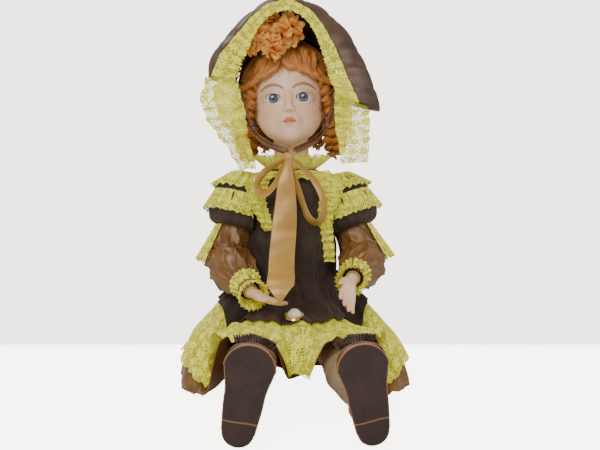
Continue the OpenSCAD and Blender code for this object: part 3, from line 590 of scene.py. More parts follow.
# ---------- wig ----------
# Auburn mohair sewn to a cap over the pate: a waved fringe, sausage curls at the temples and ringlets behind.
# Each lock is a ribbed strand, wound round its own middle where it is a ringlet.
cranium = np.array([0, 6, 303.0])


def locks(paths, thick, coil, turns, phase, rows=46, cols=12):
    """Strands of hair: a ring with five shallow ribs carried along each path, its radius swelling from the
    root and closing at the tip. The ring's middle circles the path at the coil radius, by that many turns."""
    grids = []
    for path, r, c, n, start in zip(paths, thick, coil, turns, phase):
        line = along(path, rows)
        s = np.linspace(0, 1, rows)
        way = unit(np.gradient(line, axis=0))
        side = unit(np.cross(way, [0.1, 0.95, 0.2]))
        up = np.cross(way, side)
        swing = start + 2 * math.pi * n * s
        open_coil = c * np.clip(s * 5, 0, 1) * (1 - 0.35 * s)
        line = line + (np.cos(swing) * open_coil)[:, None] * side + (np.sin(swing) * open_coil)[:, None] * up
        way = unit(np.gradient(line, axis=0))
        side = unit(np.cross(way, [0.13, 0.9, 0.31]))
        up = np.cross(way, side)
        turn = np.linspace(0, 2 * math.pi, cols, endpoint=False)
        ribs = 1 + 0.14 * np.cos(5 * turn[None] + 9 * s[:, None] + start)
        body = (r * np.clip(np.minimum(s * 9, (1 - s) * 7), 0.02, 1) ** 0.6)[:, None] * ribs
        grids.append(line[:, None] + body[..., None] * (
            np.cos(turn)[:, None] * side[:, None] + np.sin(turn)[:, None] * up[:, None]))
    return on_head(np.stack(grids))


def place_in_cloth(tree):
    """Where a point is on the flat cloth, in millimetres."""
    return wire(tree, "ShaderNodeUVMap", uv_map="cloth").outputs[0]


mohair = new_material("auburn_mohair", (0.4, 0.15, 0.04), 0.42, Specular_IOR_Level=0.4)
tree = mohair.node_tree
lay = wire(tree, "ShaderNodeMapping", inputs={
    "Vector": place_in_cloth(tree), "Scale": (2.4, 0.09, 1)})
strands = wire(tree, "ShaderNodeTexNoise",
               inputs={"Vector": lay.outputs[0], "Scale": 1.0, "Detail": 5.0, "Roughness": 0.7})
tones = tones_of(tree, strands.outputs[0], (0.30, (0.17, 0.045, 0.010)), (0.72, (0.85, 0.44, 0.13)),
                 (0.5, (0.55, 0.20, 0.045)))
shade(tree, tones, strands.outputs[0], 0.75, 0.0006)

turn = np.linspace(-math.pi, math.pi, 240, endpoint=False)
share = np.linspace(0, 1, 60)[:, None]
away = np.abs(turn)
lowest = 318 - 56 * ease((away - 0.72) / 0.5)
top_angle = np.arccos(np.clip((lowest - cranium[2]) / 50, -1, 1))
bend = 0.02 + share * (top_angle - 0.02)
comb = 0.55 * np.sin(turn * 62 + 5 * np.sin(share * 5)) + 0.8 * np.sin(share * 26 + 2 * np.sin(turn * 4))
cap = cranium + (48.6 + comb * np.clip(share * 3, 0, 1))[..., None] * np.stack(
    [np.sin(bend) * np.sin(turn), -np.sin(bend) * np.cos(turn), np.cos(bend)], -1)
under = cranium + (cap - cranium) * 0.935
wig_cap = surface("wig_cap", on_head(np.concatenate([cap, under[::-1]])), (False, True), flip=True, weld=True,
                  material=mohair)
seed = np.random.default_rng(21)
fringe, sizes = [], []
for x0 in np.linspace(-33, 33, 25):
    lean_x = np.sign(x0 + 4) * (6 + 0.25 * abs(x0))
    root = cranium + 49 * unit([x0 * 0.8, -25, 39 - abs(x0) * 0.25])
    brow = cranium + 49.6 * unit([x0 + lean_x * 0.3, -45, 17 + 3 * math.cos(x0 / 9) - abs(x0) * 0.1])
    low = brow + [lean_x * 0.8, -0.6 + abs(x0) * 0.08, -6.5 - abs(x0) * 0.12]
    end = low + [lean_x * 0.55, 3.0 + abs(x0) * 0.05, 2.2 - abs(x0) * 0.16]
    fringe.append([root, (root + brow) / 2 + [0, -2.6, 2.2], brow, low, end])
    sizes.append(3.1 + 0.6 * math.sin(x0 * 1.7))
fringe_hair = surface("fringe",
                      locks(fringe, sizes, [1.1] * 25, 1.6 + 0.5 * seed.random(25), seed.random(25) * 6),
                      (False, True), material=mohair)
sides, sizes, coils, winds = [], [], [], []
for sign in (-1, 1):
    for k, (x0, y0, low) in enumerate((
            (33.5, -24, 288), (36.5, -20, 276), (38.5, -14, 262), (41, -8, 250), (45, -1, 240), (47, 7, 234),
            (42, 14, 231), (37, 2, 244), (48, 14, 243), (50, 4, 252), (39, 22, 234))):
        top = 309 - 1.1 * k
        low = low - 8
        x0 = x0 + 3
        sides.append([[sign * (x0 - 4 + 0.02 * (top - 290)), y0 + 4, top + 6],
                      [sign * (x0 - 0.5), y0, top - 9],
                      [sign * (x0 + 1.5), y0 - 1, (top + low) / 2], [sign * (x0 + 1), y0 + 1, low + 5],
                      [sign * (x0 - 0.5), y0 + 2, low]])
        sizes.append(3.3 if k < 3 else 4.2)
        coils.append(3.2 if k < 3 else 5.8)
        winds.append(sign * (top - low) / 7.6)
side_curls = surface("side_curls", locks(sides, sizes, coils, winds, seed.random(22) * 6, rows=120),
                     (False, True), material=mohair)
behind, winds = [], []
for k, a in enumerate(np.linspace(-1.15, 1.15, 13)):
    out = np.array([math.sin(a), math.cos(a), 0])
    low = 231 + 5 * abs(math.sin(3 * a))
    root = cranium + [0, 0, -2] + 46 * out
    behind.append([root + [0, 0, 8], root + out * 1.5 + [0, 0, -18], cranium * [1, 1, 0] + 35 * out
                   + [0, 0, 258], cranium * [1, 1, 0] + 33 * out + [0, 0, low]])
    winds.append((-1) ** k * 7.0)
back_curls = surface("back_curls",
                     locks(behind, [3.4] * 13, [4.6] * 13, winds, seed.random(13) * 6, rows=110),
                     (False, True), material=mohair)
wisps = []
for k in range(150):
    a = seed.uniform(-1.9, 1.9)
    out = np.array([math.sin(a), -math.cos(a), 0])
    high = seed.uniform(316, 330) if abs(a) < 0.75 else seed.uniform(262, 322)
    level = math.sqrt(max(50.2 ** 2 - (high - cranium[2]) ** 2, 100))
    start = cranium * [1, 1, 0] + level * out + [0, 0, high]
    slide = seed.normal(0, 1, 3) * [5, 1.5, 2]
    wisps.append([start, start + [np.sign(a) * 3, -0.6, -4] + slide * 0.4,
                  start + [np.sign(a) * 5, 0.6, -9] + slide])
wisp_hair = surface("wisps", locks(wisps, [0.24] * 150, [1.0] * 150, [2.2] * 150, seed.random(150) * 6,
                                   rows=22, cols=5),
                    (False, True), material=mohair)
for piece in (wig_cap, fringe_hair, side_curls, back_curls, wisp_hair):
    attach(piece, "head")
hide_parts("wig")

# ---------- earrings ----------
# A blue glass bead hangs from a thin gilt wire hook in each ear lobe.
bead_glass = mottled("blue_bead_glass", (0.02, 0.16, 0.42), (0.01, 0.07, 0.24), 0.08, 160, 0.1, 0.02,
                     Coat_Weight=1.0)
gilt = mottled("worn_gilt", (0.83, 0.58, 0.22), (0.55, 0.36, 0.12), 0.24, 260, 0.35, 0.15, Metallic=1.0)
repaint(bead_glass, "earring_left", "earring_right")
for side, sign in (("left", 1), ("right", -1)):
    drop = np.array([sign * 37.8, -9, 264.0])
    sweep = np.linspace(-0.6 * math.pi, 0.95 * math.pi, 22)
    hook = drop + np.stack([0 * sweep, 2.6 * np.sin(sweep), 0.8 + 2.9 * np.cos(sweep)], -1)
    line = np.concatenate([[drop + [0, 0, -2.4]], hook])
    hook_wire = surface(f"earring_hook_{side}", locks([line], [0.42], [0.0], [0], [0], rows=50, cols=8),
                        (False, True), material=gilt)
    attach(hook_wire, "head")

# ---------- knitted stockings ----------
# Cream cotton stockings, knitted in fine ribs, wrinkle a little round the calf and go down into the shoes.
splay = math.radians(5.3)


def knit_tube(a, b, profile, rows, cols, wrinkle):
    """A tube about the line from a to b: its radius follows the profile of (radius, distance) pairs,
    with slanting wrinkles of the given depth added as two crossing waves."""
    way = unit(b - a)
    side = unit(np.cross(way, [0, 0, 1]))
    up = np.cross(way, side)
    s = np.linspace(profile[0][1], profile[-1][1], rows)[:, None]
    turn = np.linspace(0, 2 * math.pi, cols, endpoint=False)[None]
    r = np.interp(s[:, 0], [p[1] for p in profile], [p[0] for p in profile])[:, None]
    r = r + wrinkle * (np.sin(s * 0.42 + 2 * np.sin(turn * 2)) * np.sin(turn * 3 + s * 0.06)) ** 2
    return a + s[..., None] * way + r[..., None] * (
        np.cos(turn)[..., None] * side + np.sin(turn)[..., None] * up)


knitting = new_material("cotton_knit", (0.74, 0.66, 0.55), 0.86)
tree = knitting.node_tree
thread_way = place_in_cloth(tree)
ribs = wire(tree, "ShaderNodeTexWave", bands_direction="X", inputs={
    "Vector": thread_way, "Scale": 0.42, "Distortion": 0.6, "Detail": 1.0})
loops = wire(tree, "ShaderNodeTexWave", bands_direction="Y", inputs={
    "Vector": thread_way, "Scale": 0.5, "Distortion": 1.2, "Detail": 1.0})
mesh_height = wire(tree, "ShaderNodeMath", operation="MULTIPLY",
                   inputs={0: ribs.outputs[1], 1: loops.outputs[1]})
tint = tones_of(tree, mesh_height.outputs[0], (0, (0.30, 0.19, 0.11)), (1, (0.62, 0.47, 0.33)))
shade(tree, tint, mesh_height.outputs[0], 0.7)
calf = [(17.6, 27), (19.0, 46), (17.0, 74), (13.5, 104), (12.0, 121), (11.6, 136)]
knees, ankles = {}, {}
for side, sign in (("left", 1), ("right", -1)):
    knees[side] = joint_at[f"knee_{side}_bend"] / MM
    ankles[side] = knees[side] + 136 * unit([sign * math.sin(splay), -math.cos(splay), -0.085])
    stocking = surface(f"stocking_{side}", knit_tube(knees[side], ankles[side], calf, 90, 96, 0.8),
                       (False, True),
                       flip=True, material=knitting)
    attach(stocking, f"shin_{side}")
    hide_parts(f"stocking_{side}")

# ---------- shoes ----------
# Brown kid slippers: a soft upper, sewn to a dark stiffened sole with a scored heel line and a tan cut edge,
# bound round the opening, with a gathered ribbon rosette over the toes.
foot_roll = math.radians(11)


def on_sole(points, side, sign):
    """Points of a shoe laid out across, heel to toe and sole to ankle, put where that foot points."""
    spin = -sign * foot_roll
    x, y, z = np.moveaxis(np.asarray(points, float), -1, 0)
    x, y = x * math.cos(spin) - y * math.sin(spin), x * math.sin(spin) + y * math.cos(spin)
    lay = math.radians(80)
    y, z = y * math.cos(lay) - z * math.sin(lay), y * math.sin(lay) + z * math.cos(lay)
    face = math.pi + sign * splay
    x, y = x * math.cos(face) - y * math.sin(face), x * math.sin(face) + y * math.cos(face)
    return np.stack([x, y, z], -1) + [ankles[side][0], ankles[side][1] - 31, 20.6]


def sole_half(y):
    """Half the sole's width: 12.5 at the heel, 15.5 at the waist, 20 at the ball of the foot."""
    t = (y + 21) / 84
    return np.where(t < 0.5, 12.5 + 3 * ease(t / 0.5), 15.5 + 4.5 * ease((t - 0.5) / 0.35))


def thickened(piece, thick, offset=0, name="cloth"):
    """Gives a sheet this thickness in millimetres, to both sides, or to one with an offset of 1 or -1."""
    cloth = piece.modifiers.new(name, "SOLIDIFY")
    cloth.thickness, cloth.offset = thick * MM, offset


leather = mottled("brown_kid", (0.20, 0.085, 0.045), (0.11, 0.042, 0.022), 0.34, 90, 0.3, 0.35,
                  Coat_Weight=0.25)
sole_leather = new_material("sole_leather", (0.045, 0.016, 0.013), 0.62)
tree = sole_leather.node_tree
group = wire(tree, "ShaderNodeGroup", node_tree=aged, inputs={
    "Vector": place_on(tree), "Light": (0.040, 0.016, 0.013, 1),
    "Dark": (0.020, 0.008, 0.007, 1), "Scale": 60.0, "Spots": 0.4})
edging = wire(tree, "ShaderNodeVertexColor", layer_name="paint")
mask = wire(tree, "ShaderNodeSeparateColor", inputs={0: edging.outputs[0]})
cut = wire(tree, "ShaderNodeMix", data_type="RGBA",
           inputs={0: mask.outputs[0], 6: group.outputs["Color"], 7: (0.34, 0.155, 0.06, 1)})
shade(tree, cut.outputs[2], group.outputs["Height"], 0.25)
ribbon_dark = mottled("rosette_ribbon", (0.085, 0.040, 0.026), (0.040, 0.018, 0.012), 0.42, 200, 0.2, 0.3)
stations = np.array([[-20, .55, 22], [-17, .84, 26], [-10, 1, 27], [0, 1, 26], [10, 1, 24],
                     [22, 1, 20], [34, 1, 17],
                     [46, 1, 15], [54, .9, 13], [59, .66, 10], [62, .3, 6.0]])
heel_at, heel_round = -8.5, 12.5
toe_at, toe_round = 43, 20
opening_round = 12.6
rosette_loops = 26
for side, sign in (("left", 1), ("right", -1)):
    quarter = np.radians(np.linspace(0, 90, 30))
    y = np.concatenate([heel_at - heel_round * np.cos(quarter), np.linspace(-8, -1.4, 12),
                        np.linspace(-1.2, 1.2, 17), np.linspace(1.4, 42.5, 60),
                        toe_at + toe_round * np.sin(quarter)])[:, None]
    round_heel = np.sqrt(np.clip(heel_round ** 2 - (y - heel_at) ** 2, 0, None))
    round_toe = np.sqrt(np.clip(toe_round ** 2 - (y - toe_at) ** 2, 0, None))
    wide = np.where(y < heel_at, round_heel, np.where(y > toe_at, round_toe, sole_half(y)))
    face = np.sin(np.linspace(-math.pi / 2, math.pi / 2, 72))[None]
    x = np.concatenate([wide * face, wide * 1.004 + 0 * face[:, :6], -wide * face[:, ::3],
                        -wide * 1.004 + 0 * face[:, :6]], 1)
    to_edge = np.where(y < heel_at, heel_round - np.hypot(x, y - heel_at),
                       np.where(y > toe_at, toe_round - np.hypot(x, y - toe_at), wide - np.abs(x)))
    heel_line = np.exp(-((y + 0.4 * np.sin(x * 0.2)) / 0.55) ** 2)
    near = 0.55 * np.exp(-to_edge / 0.5) + 0.5 * heel_line
    side_height = np.linspace(0.6, 3.1, 6)[None] + 0 * y
    z = np.concatenate([near[:, :72], side_height, 3.2 + 0 * x[:, 78:102], side_height[:, ::-1]], 1)
    tan = np.clip(np.exp(-((to_edge - 0.15) / 0.5) ** 2) + 0.9 * heel_line * (z < 1.3), 0, 1)
    sole = surface(f"shoe_sole_plate_{side}", on_sole(np.stack([x, y + 0 * x, z], -1), side, sign),
                   (False, True),
                   flip=True, material=sole_leather)
    painted(sole, np.repeat(tan.reshape(-1, 1), 3, 1))
    y = along(stations, 70)
    half = np.maximum(4, sole_half(y[:, 0]) * y[:, 1] - 0.5)[:, None]
    bow = np.linspace(0, math.pi, 60)[None]
    crease = 0.35 * np.sin(y[:, :1] * 1.1 + 1.5 * np.cos(bow)) * np.exp(
        -((y[:, :1] - 30) / 14) ** 2) * np.sin(bow)
    shell = []
    for wall in (0.0, 1.2):
        x = (half - wall) * np.sign(np.cos(bow)) * np.abs(np.cos(bow)) ** 0.7
        z = 3.3 + (y[:, 2:3] - wall + (crease if wall == 0 else 0)) * np.sin(bow) ** 0.75
        shell.append(np.stack([x, y[:, :1] * (1 - 0.01 * wall) + 0 * x, z], -1))
    opening = np.hypot(shell[0][..., 0] / 0.92, np.where(shell[0][..., 1] > 0, shell[0][..., 1] / 1.42,
                                                         shell[0][..., 1])) < opening_round
    pressed = opening & (shell[0][..., 2] > 12)
    for layer in shell:
        layer[..., 2] = np.where(pressed, np.minimum(layer[..., 2], 20.5 + 0.25 * np.abs(layer[..., 0])),
                                 layer[..., 2])
    outer, lining = shell
    upper = surface(f"slipper_{side}", on_sole(np.concatenate([outer, lining[::-1]]), side, sign),
                    (True, False),
                    flip=False, material=leather)
    ring = np.linspace(0, 2 * math.pi, 90, endpoint=False)
    collar = np.stack([12.4 * np.cos(ring), np.where(np.sin(ring) > 0, 17.5, 12.6) * np.sin(ring),
                       24.8 - 1.4 * np.sin(ring) + 0.5 * np.cos(2 * ring)], -1)
    tube = np.linspace(0, 2 * math.pi, 10, endpoint=False)
    out = unit(collar * [1, 1, 0])
    binding = collar[:, None] + 1.15 * (np.cos(tube)[None, :, None] * out[:, None]
                                        + np.sin(tube)[None, :, None] * [0, 0, 1])
    binding = surface(f"slipper_binding_{side}", on_sole(binding, side, sign), (True, True), flip=False,
                      material=leather)
    rosette = []
    for k in range(rosette_loops):
        s = k / (rosette_loops - 1) * 2 - 1
        root = np.array([s * 12.0, 58.5 - abs(s) * 3.4, 17.0])
        fan = math.radians(90 * s + 20 * (-1) ** k)
        out = np.array([math.sin(fan) * 0.8, 0.75 + 0.25 * (-1) ** k, 0.55])
        u, v = np.meshgrid(np.linspace(0, 1, 9), np.linspace(-1, 1, 7), indexing="ij")
        loop = root + (u[..., None] * 6.6 * unit(out)) + v[..., None] * np.array(
            [2.6 * math.cos(fan), 2.2 * math.sin(fan), 0.4])
        loop = loop + np.stack([0 * u, 1.4 * np.sin(u * math.pi) * (1 if k % 2 else -1), 0.9 * np.cos(v * 3)],
                               -1)
        rosette.append(loop)
    rosette = surface(f"ribbon_rosette_{side}", on_sole(np.stack(rosette), side, sign), material=ribbon_dark)
    thickened(rosette, 0.35, -1)
    for piece, node, slot in ((sole, "shoe_sole", "sole_leather"), (upper, "shoe_upper", "shoe_leather"),
                              (rosette, "shoe_rosette", "rosette_ribbon")):
        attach(piece, f"shin_{side}")
        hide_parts(f"{node}_{side}")
    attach(binding, f"shin_{side}")

# ---------- skirts ----------
# Three layers are gathered to the waist: a gold-brown satin petticoat that lies on the table, a deep lace
# flounce, and a short velvet overskirt spread across the lap. They arch over the shins like a low tent.
weave = bpy.data.node_groups.new("woven_thread", "ShaderNodeTree")
for name, kind in (("Vector", "Vector"), ("Threads", "Float")):
    weave.interface.new_socket(name, in_out="INPUT", socket_type="NodeSocket" + kind)
weave.interface.new_socket("Height", in_out="OUTPUT", socket_type="NodeSocketFloat")
into, out = weave.nodes.new("NodeGroupInput"), weave.nodes.new("NodeGroupOutput")
bands = [wire(weave, "ShaderNodeTexWave", bands_direction=way, inputs={
    "Vector": into.outputs["Vector"], "Scale": into.outputs["Threads"], "Distortion": 0.4, "Detail": 1.0})
         for way in "XY"]
crossed = wire(weave, "ShaderNodeMath", operation="MAXIMUM",
               inputs={0: bands[0].outputs[1], 1: bands[1].outputs[1]})
weave.links.new(crossed.outputs[0], out.inputs["Height"])


def woven(name, light, dark, rough, scale, threads, bump=0.2, **sockets):
    """Cloth that wanders between two colours, with crossed threads in its height."""
    made = mottled(name, light, dark, rough, scale, 0.1, 0.1, **sockets)
    tree = made.node_tree
    cloth = wire(tree, "ShaderNodeGroup", node_tree=weave)
    cloth.inputs["Threads"].default_value = threads
    tree.links.new(place_in_cloth(tree), cloth.inputs["Vector"])
    lift = next(n for n in tree.nodes if n.bl_idname == "ShaderNodeBump")
    lift.inputs["Strength"].default_value = bump
    tree.links.new(cloth.outputs["Height"], lift.inputs["Height"])
    return made


gold_satin = woven("gold_brown_satin", (0.30, 0.145, 0.042), (0.15, 0.066, 0.018), 0.34, 28, 0.9, 0.12,
                   Metallic=0.2)
velvet = mottled("brown_black_velvet", (0.058, 0.037, 0.027), (0.026, 0.016, 0.012), 0.8, 55, 0.3, 0.5,
                 Sheen_Weight=0.35, Sheen_Roughness=0.3, Sheen_Tint=(0.55, 0.36, 0.24, 1))


def power(x, e):
    """A number's size raised to e, keeping its sign."""
    return np.sign(x) * np.abs(x) ** e


def drape(turn, t, off):
    """A point of the skirt, t of the way from the waist oval to the hem oval at this turn round the doll.
    Its height eases from the waist down to the floor, or in front to the top of the shins."""
    c, s = np.cos(turn), np.sin(turn)
    hem_x, hem_y = 112 * power(c, 0.85), -40 + 125 * power(s, 0.8)
    rise = 57 * (1 - ease((np.abs(hem_x) - 68) / 18)) * ease((-30 - hem_y) / 60)
    hem = np.where(hem_y > -30, 0, np.where(np.abs(hem_x) < 12, 24, rise))
    hem = np.where((hem_y < -30) & (np.abs(hem_x) < 26),
                   24 + (rise - 24) * ease((np.abs(hem_x) - 9) / 14), hem)
    top = np.where((np.abs(hem_x) < 20) & (hem_y < -30), 57, hem)
    low = top + (hem - top) * ease((t - 0.66) / 0.3)
    back, side = ease(s + 0.4), ease((np.abs(c) - 0.55) / 0.4) * 0.6
    side = side * (1 + 0.6 * ease((np.abs(c) - 0.75) / 0.2))
    k = np.maximum(back, side)
    up = np.clip(1 - t, 0, 1)
    fall = up ** 3.2 * (1 - k) + up ** (1.15 - 0.33 * side / 0.6) * k
    out = off * (0.15 + 0.6 * np.abs(c))
    x = 43 * c * (1 - t) + hem_x * t + c * out
    y = (2 + 34 * s) * (1 - t) + hem_y * t + s * out
    return np.stack([x, y, low + (98 - low) * fall + off], -1)


def folds(turn, t):
    """How far every layer is lifted: by three sets of soft folds round the doll, which bend on their way
    down and are lowest at the waist, and by fine gathers at the waist. Nothing is pushed inwards."""
    bent = turn + 0.10 * np.sin(3 * t + 2 * turn) + 0.05 * np.sin(7 * t + turn)
    wave = 0.5 + 0.28 * np.sin(19 * bent) + 0.16 * np.sin(31 * bent + 1.3) + 0.10 * np.sin(47 * bent + 0.4)
    gathers = 0.5 + 0.5 * np.sin(72 * turn)
    return 5.2 * np.clip(wave, 0, 1) ** 1.6 * ease(t * 1.6 + 0.1) + 0.6 * gathers * np.clip(1 - t, 0, 1) ** 5


def skirt_layer(name, t0, t1, off, rows, cols, material, extra=None, thick=0.7):
    """One layer of the skirt, from t0 to t1 of the drape, moved outwards along its own surface by the folds.
    Extra holds two functions of the turn: one lengthens the layer, and the other adds a ruffle."""
    turn = np.linspace(0, 2 * math.pi, cols, endpoint=False)[None]
    t = np.linspace(t0, t1, rows)[:, None] + 0 * turn
    if extra is not None:
        t = t0 + (t - t0) * (1 + extra[0](turn) / (t1 - t0))
    turn = turn + 0 * t
    grid = drape(turn, t, off)
    down, round_way = np.gradient(grid, axis=0), (np.roll(grid, -1, 1) - np.roll(grid, 1, 1))
    out = unit(np.cross(down, round_way))
    out = np.where((out[..., 2:3] < -0.2), -out, out)
    lift = folds(turn, t) + (0 if extra is None else extra[1](turn, t))
    grid = grid + out * lift[..., None]
    grid[..., 2] = np.maximum(grid[..., 2], 0.5 + 0.3 * off)
    made = surface(name, grid, (False, True), material=material)
    if thick:
        thickened(made, thick)
    return made, grid


petticoat, grid = skirt_layer("satin_petticoat", 0.30, 1.0, 0.95, 50, 560, gold_satin)
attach(petticoat, "torso")
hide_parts("underskirt")


def short_sides(turn):
    """The velvet's hem: round, and much shorter over the hips than in front and behind."""
    return -0.17 * np.abs(np.cos(turn)) ** 1.6


def level(_, along):
    """No ruffle of its own."""
    return 0 * along


overskirt, grid = skirt_layer("velvet_overskirt", 0.0, 0.585, 6.9, 46, 560, velvet, (short_sides, level))
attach(overskirt, "torso")
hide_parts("overskirt")

# ---------- lace flounce ----------
# Machine-made cotton lace, dyed lime yellow and given a faint painted glow of the same colour: a net ground
# with worked flowers and a scalloped edge.
# It is gathered under the velvet's hem, and stands out in small ruffles over the satin.
lacework = bpy.data.node_groups.new("lacework", "ShaderNodeTree")
lacework.interface.new_socket("Vector", in_out="INPUT", socket_type="NodeSocketVector")
for name in ("Cover", "Worked"):
    lacework.interface.new_socket(name, in_out="OUTPUT", socket_type="NodeSocketFloat")
into, out = lacework.nodes.new("NodeGroupInput"), lacework.nodes.new("NodeGroupOutput")
net = wire(lacework, "ShaderNodeTexVoronoi", voronoi_dimensions="2D", feature="DISTANCE_TO_EDGE", inputs={
    "Vector": into.outputs[0], "Scale": 0.62, "Randomness": 0.35})
net_thread = wire(lacework, "ShaderNodeMapRange", inputs={0: net.outputs[0], 1: 0.25, 2: 0.17})
small = wire(lacework, "ShaderNodeVectorMath", operation="SCALE", inputs={0: into.outputs[0], 3: 1 / 11.5})
bloom = wire(lacework, "ShaderNodeTexVoronoi", voronoi_dimensions="2D",
             inputs={"Vector": small.outputs[0], "Scale": 1.0, "Randomness": 0.42})
from_middle = wire(lacework, "ShaderNodeVectorMath", operation="SUBTRACT",
                   inputs={0: small.outputs[0], 1: bloom.outputs["Position"]})
split = wire(lacework, "ShaderNodeSeparateXYZ", inputs={0: from_middle.outputs[0]})
angle = wire(lacework, "ShaderNodeMath", operation="ARCTAN2",
             inputs={0: split.outputs[1], 1: split.outputs[0]})
petals = wire(lacework, "ShaderNodeMath", operation="COSINE", inputs={
    0: wire(lacework, "ShaderNodeMath", operation="MULTIPLY",
            inputs={0: angle.outputs[0], 1: 6.0}).outputs[0]})
reach = wire(lacework, "ShaderNodeMath", operation="MULTIPLY_ADD",
             inputs={0: petals.outputs[0], 1: 0.085, 2: 0.33})
inside = wire(lacework, "ShaderNodeMath", operation="SUBTRACT",
              inputs={0: reach.outputs[0], 1: bloom.outputs["Distance"]})
flower = wire(lacework, "ShaderNodeMapRange", inputs={0: inside.outputs[0], 1: 0.0, 2: 0.03})
eyelet = wire(lacework, "ShaderNodeMapRange", inputs={0: bloom.outputs["Distance"], 1: 0.055, 2: 0.085})
worked_flower = wire(lacework, "ShaderNodeMath", operation="MULTIPLY",
                     inputs={0: flower.outputs[0], 1: eyelet.outputs[0]})
curl = wire(lacework, "ShaderNodeTexNoise", noise_dimensions="2D",
            inputs={"Vector": into.outputs[0], "Scale": 0.17, "Detail": 1.0})
curl_gap = wire(lacework, "ShaderNodeMath", operation="ABSOLUTE", inputs={
    0: wire(lacework, "ShaderNodeMath", operation="SUBTRACT",
            inputs={0: curl.outputs[0], 1: 0.5}).outputs[0]})
stem = wire(lacework, "ShaderNodeMapRange", inputs={0: curl_gap.outputs[0], 1: 0.045, 2: 0.028})
worked = wire(lacework, "ShaderNodeMath", operation="MAXIMUM",
              inputs={0: worked_flower.outputs[0], 1: stem.outputs[0]})
cover = wire(lacework, "ShaderNodeMath", operation="MAXIMUM",
             inputs={0: worked.outputs[0], 1: net_thread.outputs[0]})
lacework.links.new(cover.outputs[0], out.inputs["Cover"])
lacework.links.new(worked.outputs[0], out.inputs["Worked"])
# The faint lime emission is painted light: the lace glows a little of itself, though it is no lamp.
lace = new_material("lime_lace", (0.80, 0.77, 0.07), 0.8, Emission_Color=(0.80, 0.77, 0.07, 1),
                    Emission_Strength=0.06)
tree = lace.node_tree
group = wire(tree, "ShaderNodeGroup", node_tree=lacework, inputs={0: place_in_cloth(tree)})
dye = wire(tree, "ShaderNodeMix", data_type="RGBA", inputs={
    0: group.outputs["Worked"], 6: (0.74, 0.70, 0.05, 1), 7: (0.88, 0.86, 0.10, 1)})
tree.links.new(group.outputs["Cover"], tree.nodes["Principled BSDF"].inputs["Alpha"])
shade(tree, dye.outputs[2], group.outputs["Worked"], 0.5, 0.0005)


def scallops(turn):
    """The lace's lower edge: 90 round tongues round the skirt, hanging further out over the shins."""
    return 0.016 * np.abs(np.sin(45 * turn)) - 0.008 + 0.22 * ease((-np.sin(turn) - 0.72) / 0.15)


def ruffles(turn, t):
    """Small gathers that open towards the lace's edge."""
    down = ease((t - 0.52) / 0.4)
    return down * (2.2 + 1.7 * np.sin(58 * turn + 1.4 * np.sin(5 * turn)) + 1.0 * np.sin(83 * turn + 6 * t))


flounce, grid = skirt_layer("lace_flounce_ruffle", 0.37, 0.93, 4.0, 40, 900, lace,
                            (scallops, ruffles), thick=0)
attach(flounce, "torso")
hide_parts("lace_flounce")

# ---------- bodice ----------
# A fitted velvet bodice with narrow tucks down the front, closed at the back by four shirt buttons.
rows_of_bodice = np.array([[99, 44, -36.2, 37], [104, 45.5, -36.2, 37], [116, 46.5, -36.5, 37],
                           [136, 46, -38, 36.5], [148, 43, -38.6, 36.2],
                           [160, 40.3, -39, 36], [184, 40.5, -35, 34], [202, 39.2, -29, 32],
                           [209, 33.5, -27, 30.5],
                           [212, 27.4, -23.6, 27.4], [213, 24.6, -22.6, 26.6]], float)
shape = along(rows_of_bodice[:, [0, 1, 2, 3]], 96)
turn = np.linspace(0, 2 * math.pi, 300, endpoint=False)[None]
z, half, front, back = (shape[:, i:i + 1] for i in range(4))
tuck = np.exp(-((np.cos(turn) * 40) / 21) ** 4) * (np.sin(turn) < 0)
tucked = 0.55 * tuck * (np.abs(np.sin(np.cos(turn) * 40 * math.pi / 5.4)) ** 0.5 - 0.5)
crumple = 0.7 * np.sin(turn * 9 + z * 0.11) * np.sin(
    z * 0.16 + 2 * np.sin(turn * 3)) * np.clip((210 - z) / 12, 0, 1)
waist_gather = 0.5 * np.sin(turn * 60) * np.exp(-((z - 101) / 8) ** 2)
grow = tucked * np.clip((212 - z) / 10, 0, 1) + crumple * (1 - tuck) + waist_gather - 0.2
deep = (back - front) / 2
bodice_grid = np.stack([np.minimum(half + grow, np.where(z < 150, 47, 40.5)) * power(np.cos(turn), 0.66),
                        (front + back) / 2 + (deep + grow) * power(np.sin(turn), 0.9), z + 0 * turn], -1)
bodice = surface("velvet_bodice", bodice_grid, (False, True), flip=False, material=velvet)
shaped = bmesh.new()
shaped.from_mesh(bodice.data)
shoulder = joint_at["shoulder_left_swing"]
armhole = [f for f in shaped.faces if abs(f.calc_center_median().x) > 0.03
           and math.hypot(f.calc_center_median().y - shoulder[1],
                          f.calc_center_median().z - shoulder[2]) < 0.0145]
bmesh.ops.delete(shaped, geom=armhole, context="FACES")
shaped.to_mesh(bodice.data)
shaped.free()
thickened(bodice, 0.9, -1)
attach(bodice, "torso")
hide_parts("dress_bodice")
button_shell = mottled("shell_button", (0.82, 0.78, 0.70), (0.66, 0.60, 0.52), 0.22, 260, 0.2, 0.1,
                       Coat_Weight=0.5)
repaint(button_shell, "back_buttons")

# ---------- sleeves ----------
# Each arm has a short velvet puff, gathered at both ends, over a full satin undersleeve that bags
# round the elbow and is drawn in at the wrist.
shoulders = {side: joint_at[f"shoulder_{side}_swing"] / MM for side in both}
elbows = {side: joint_at[f"elbow_{side}_twist"] / MM for side in both}
wrists = {side: joint_at[f"wrist_{side}_twist"] / MM for side in both}


def spun(a, b, r, s, turn):
    """Points round the line from a towards b: radius r at distance s, at each turn."""
    way = unit(b - a)
    side = unit(np.cross(way, [0.02, 1, 0.05]))
    up = np.cross(way, side)
    return a + np.asarray(s)[..., None] * way + np.asarray(r)[..., None] * (
        np.cos(turn)[..., None] * side + np.sin(turn)[..., None] * up)


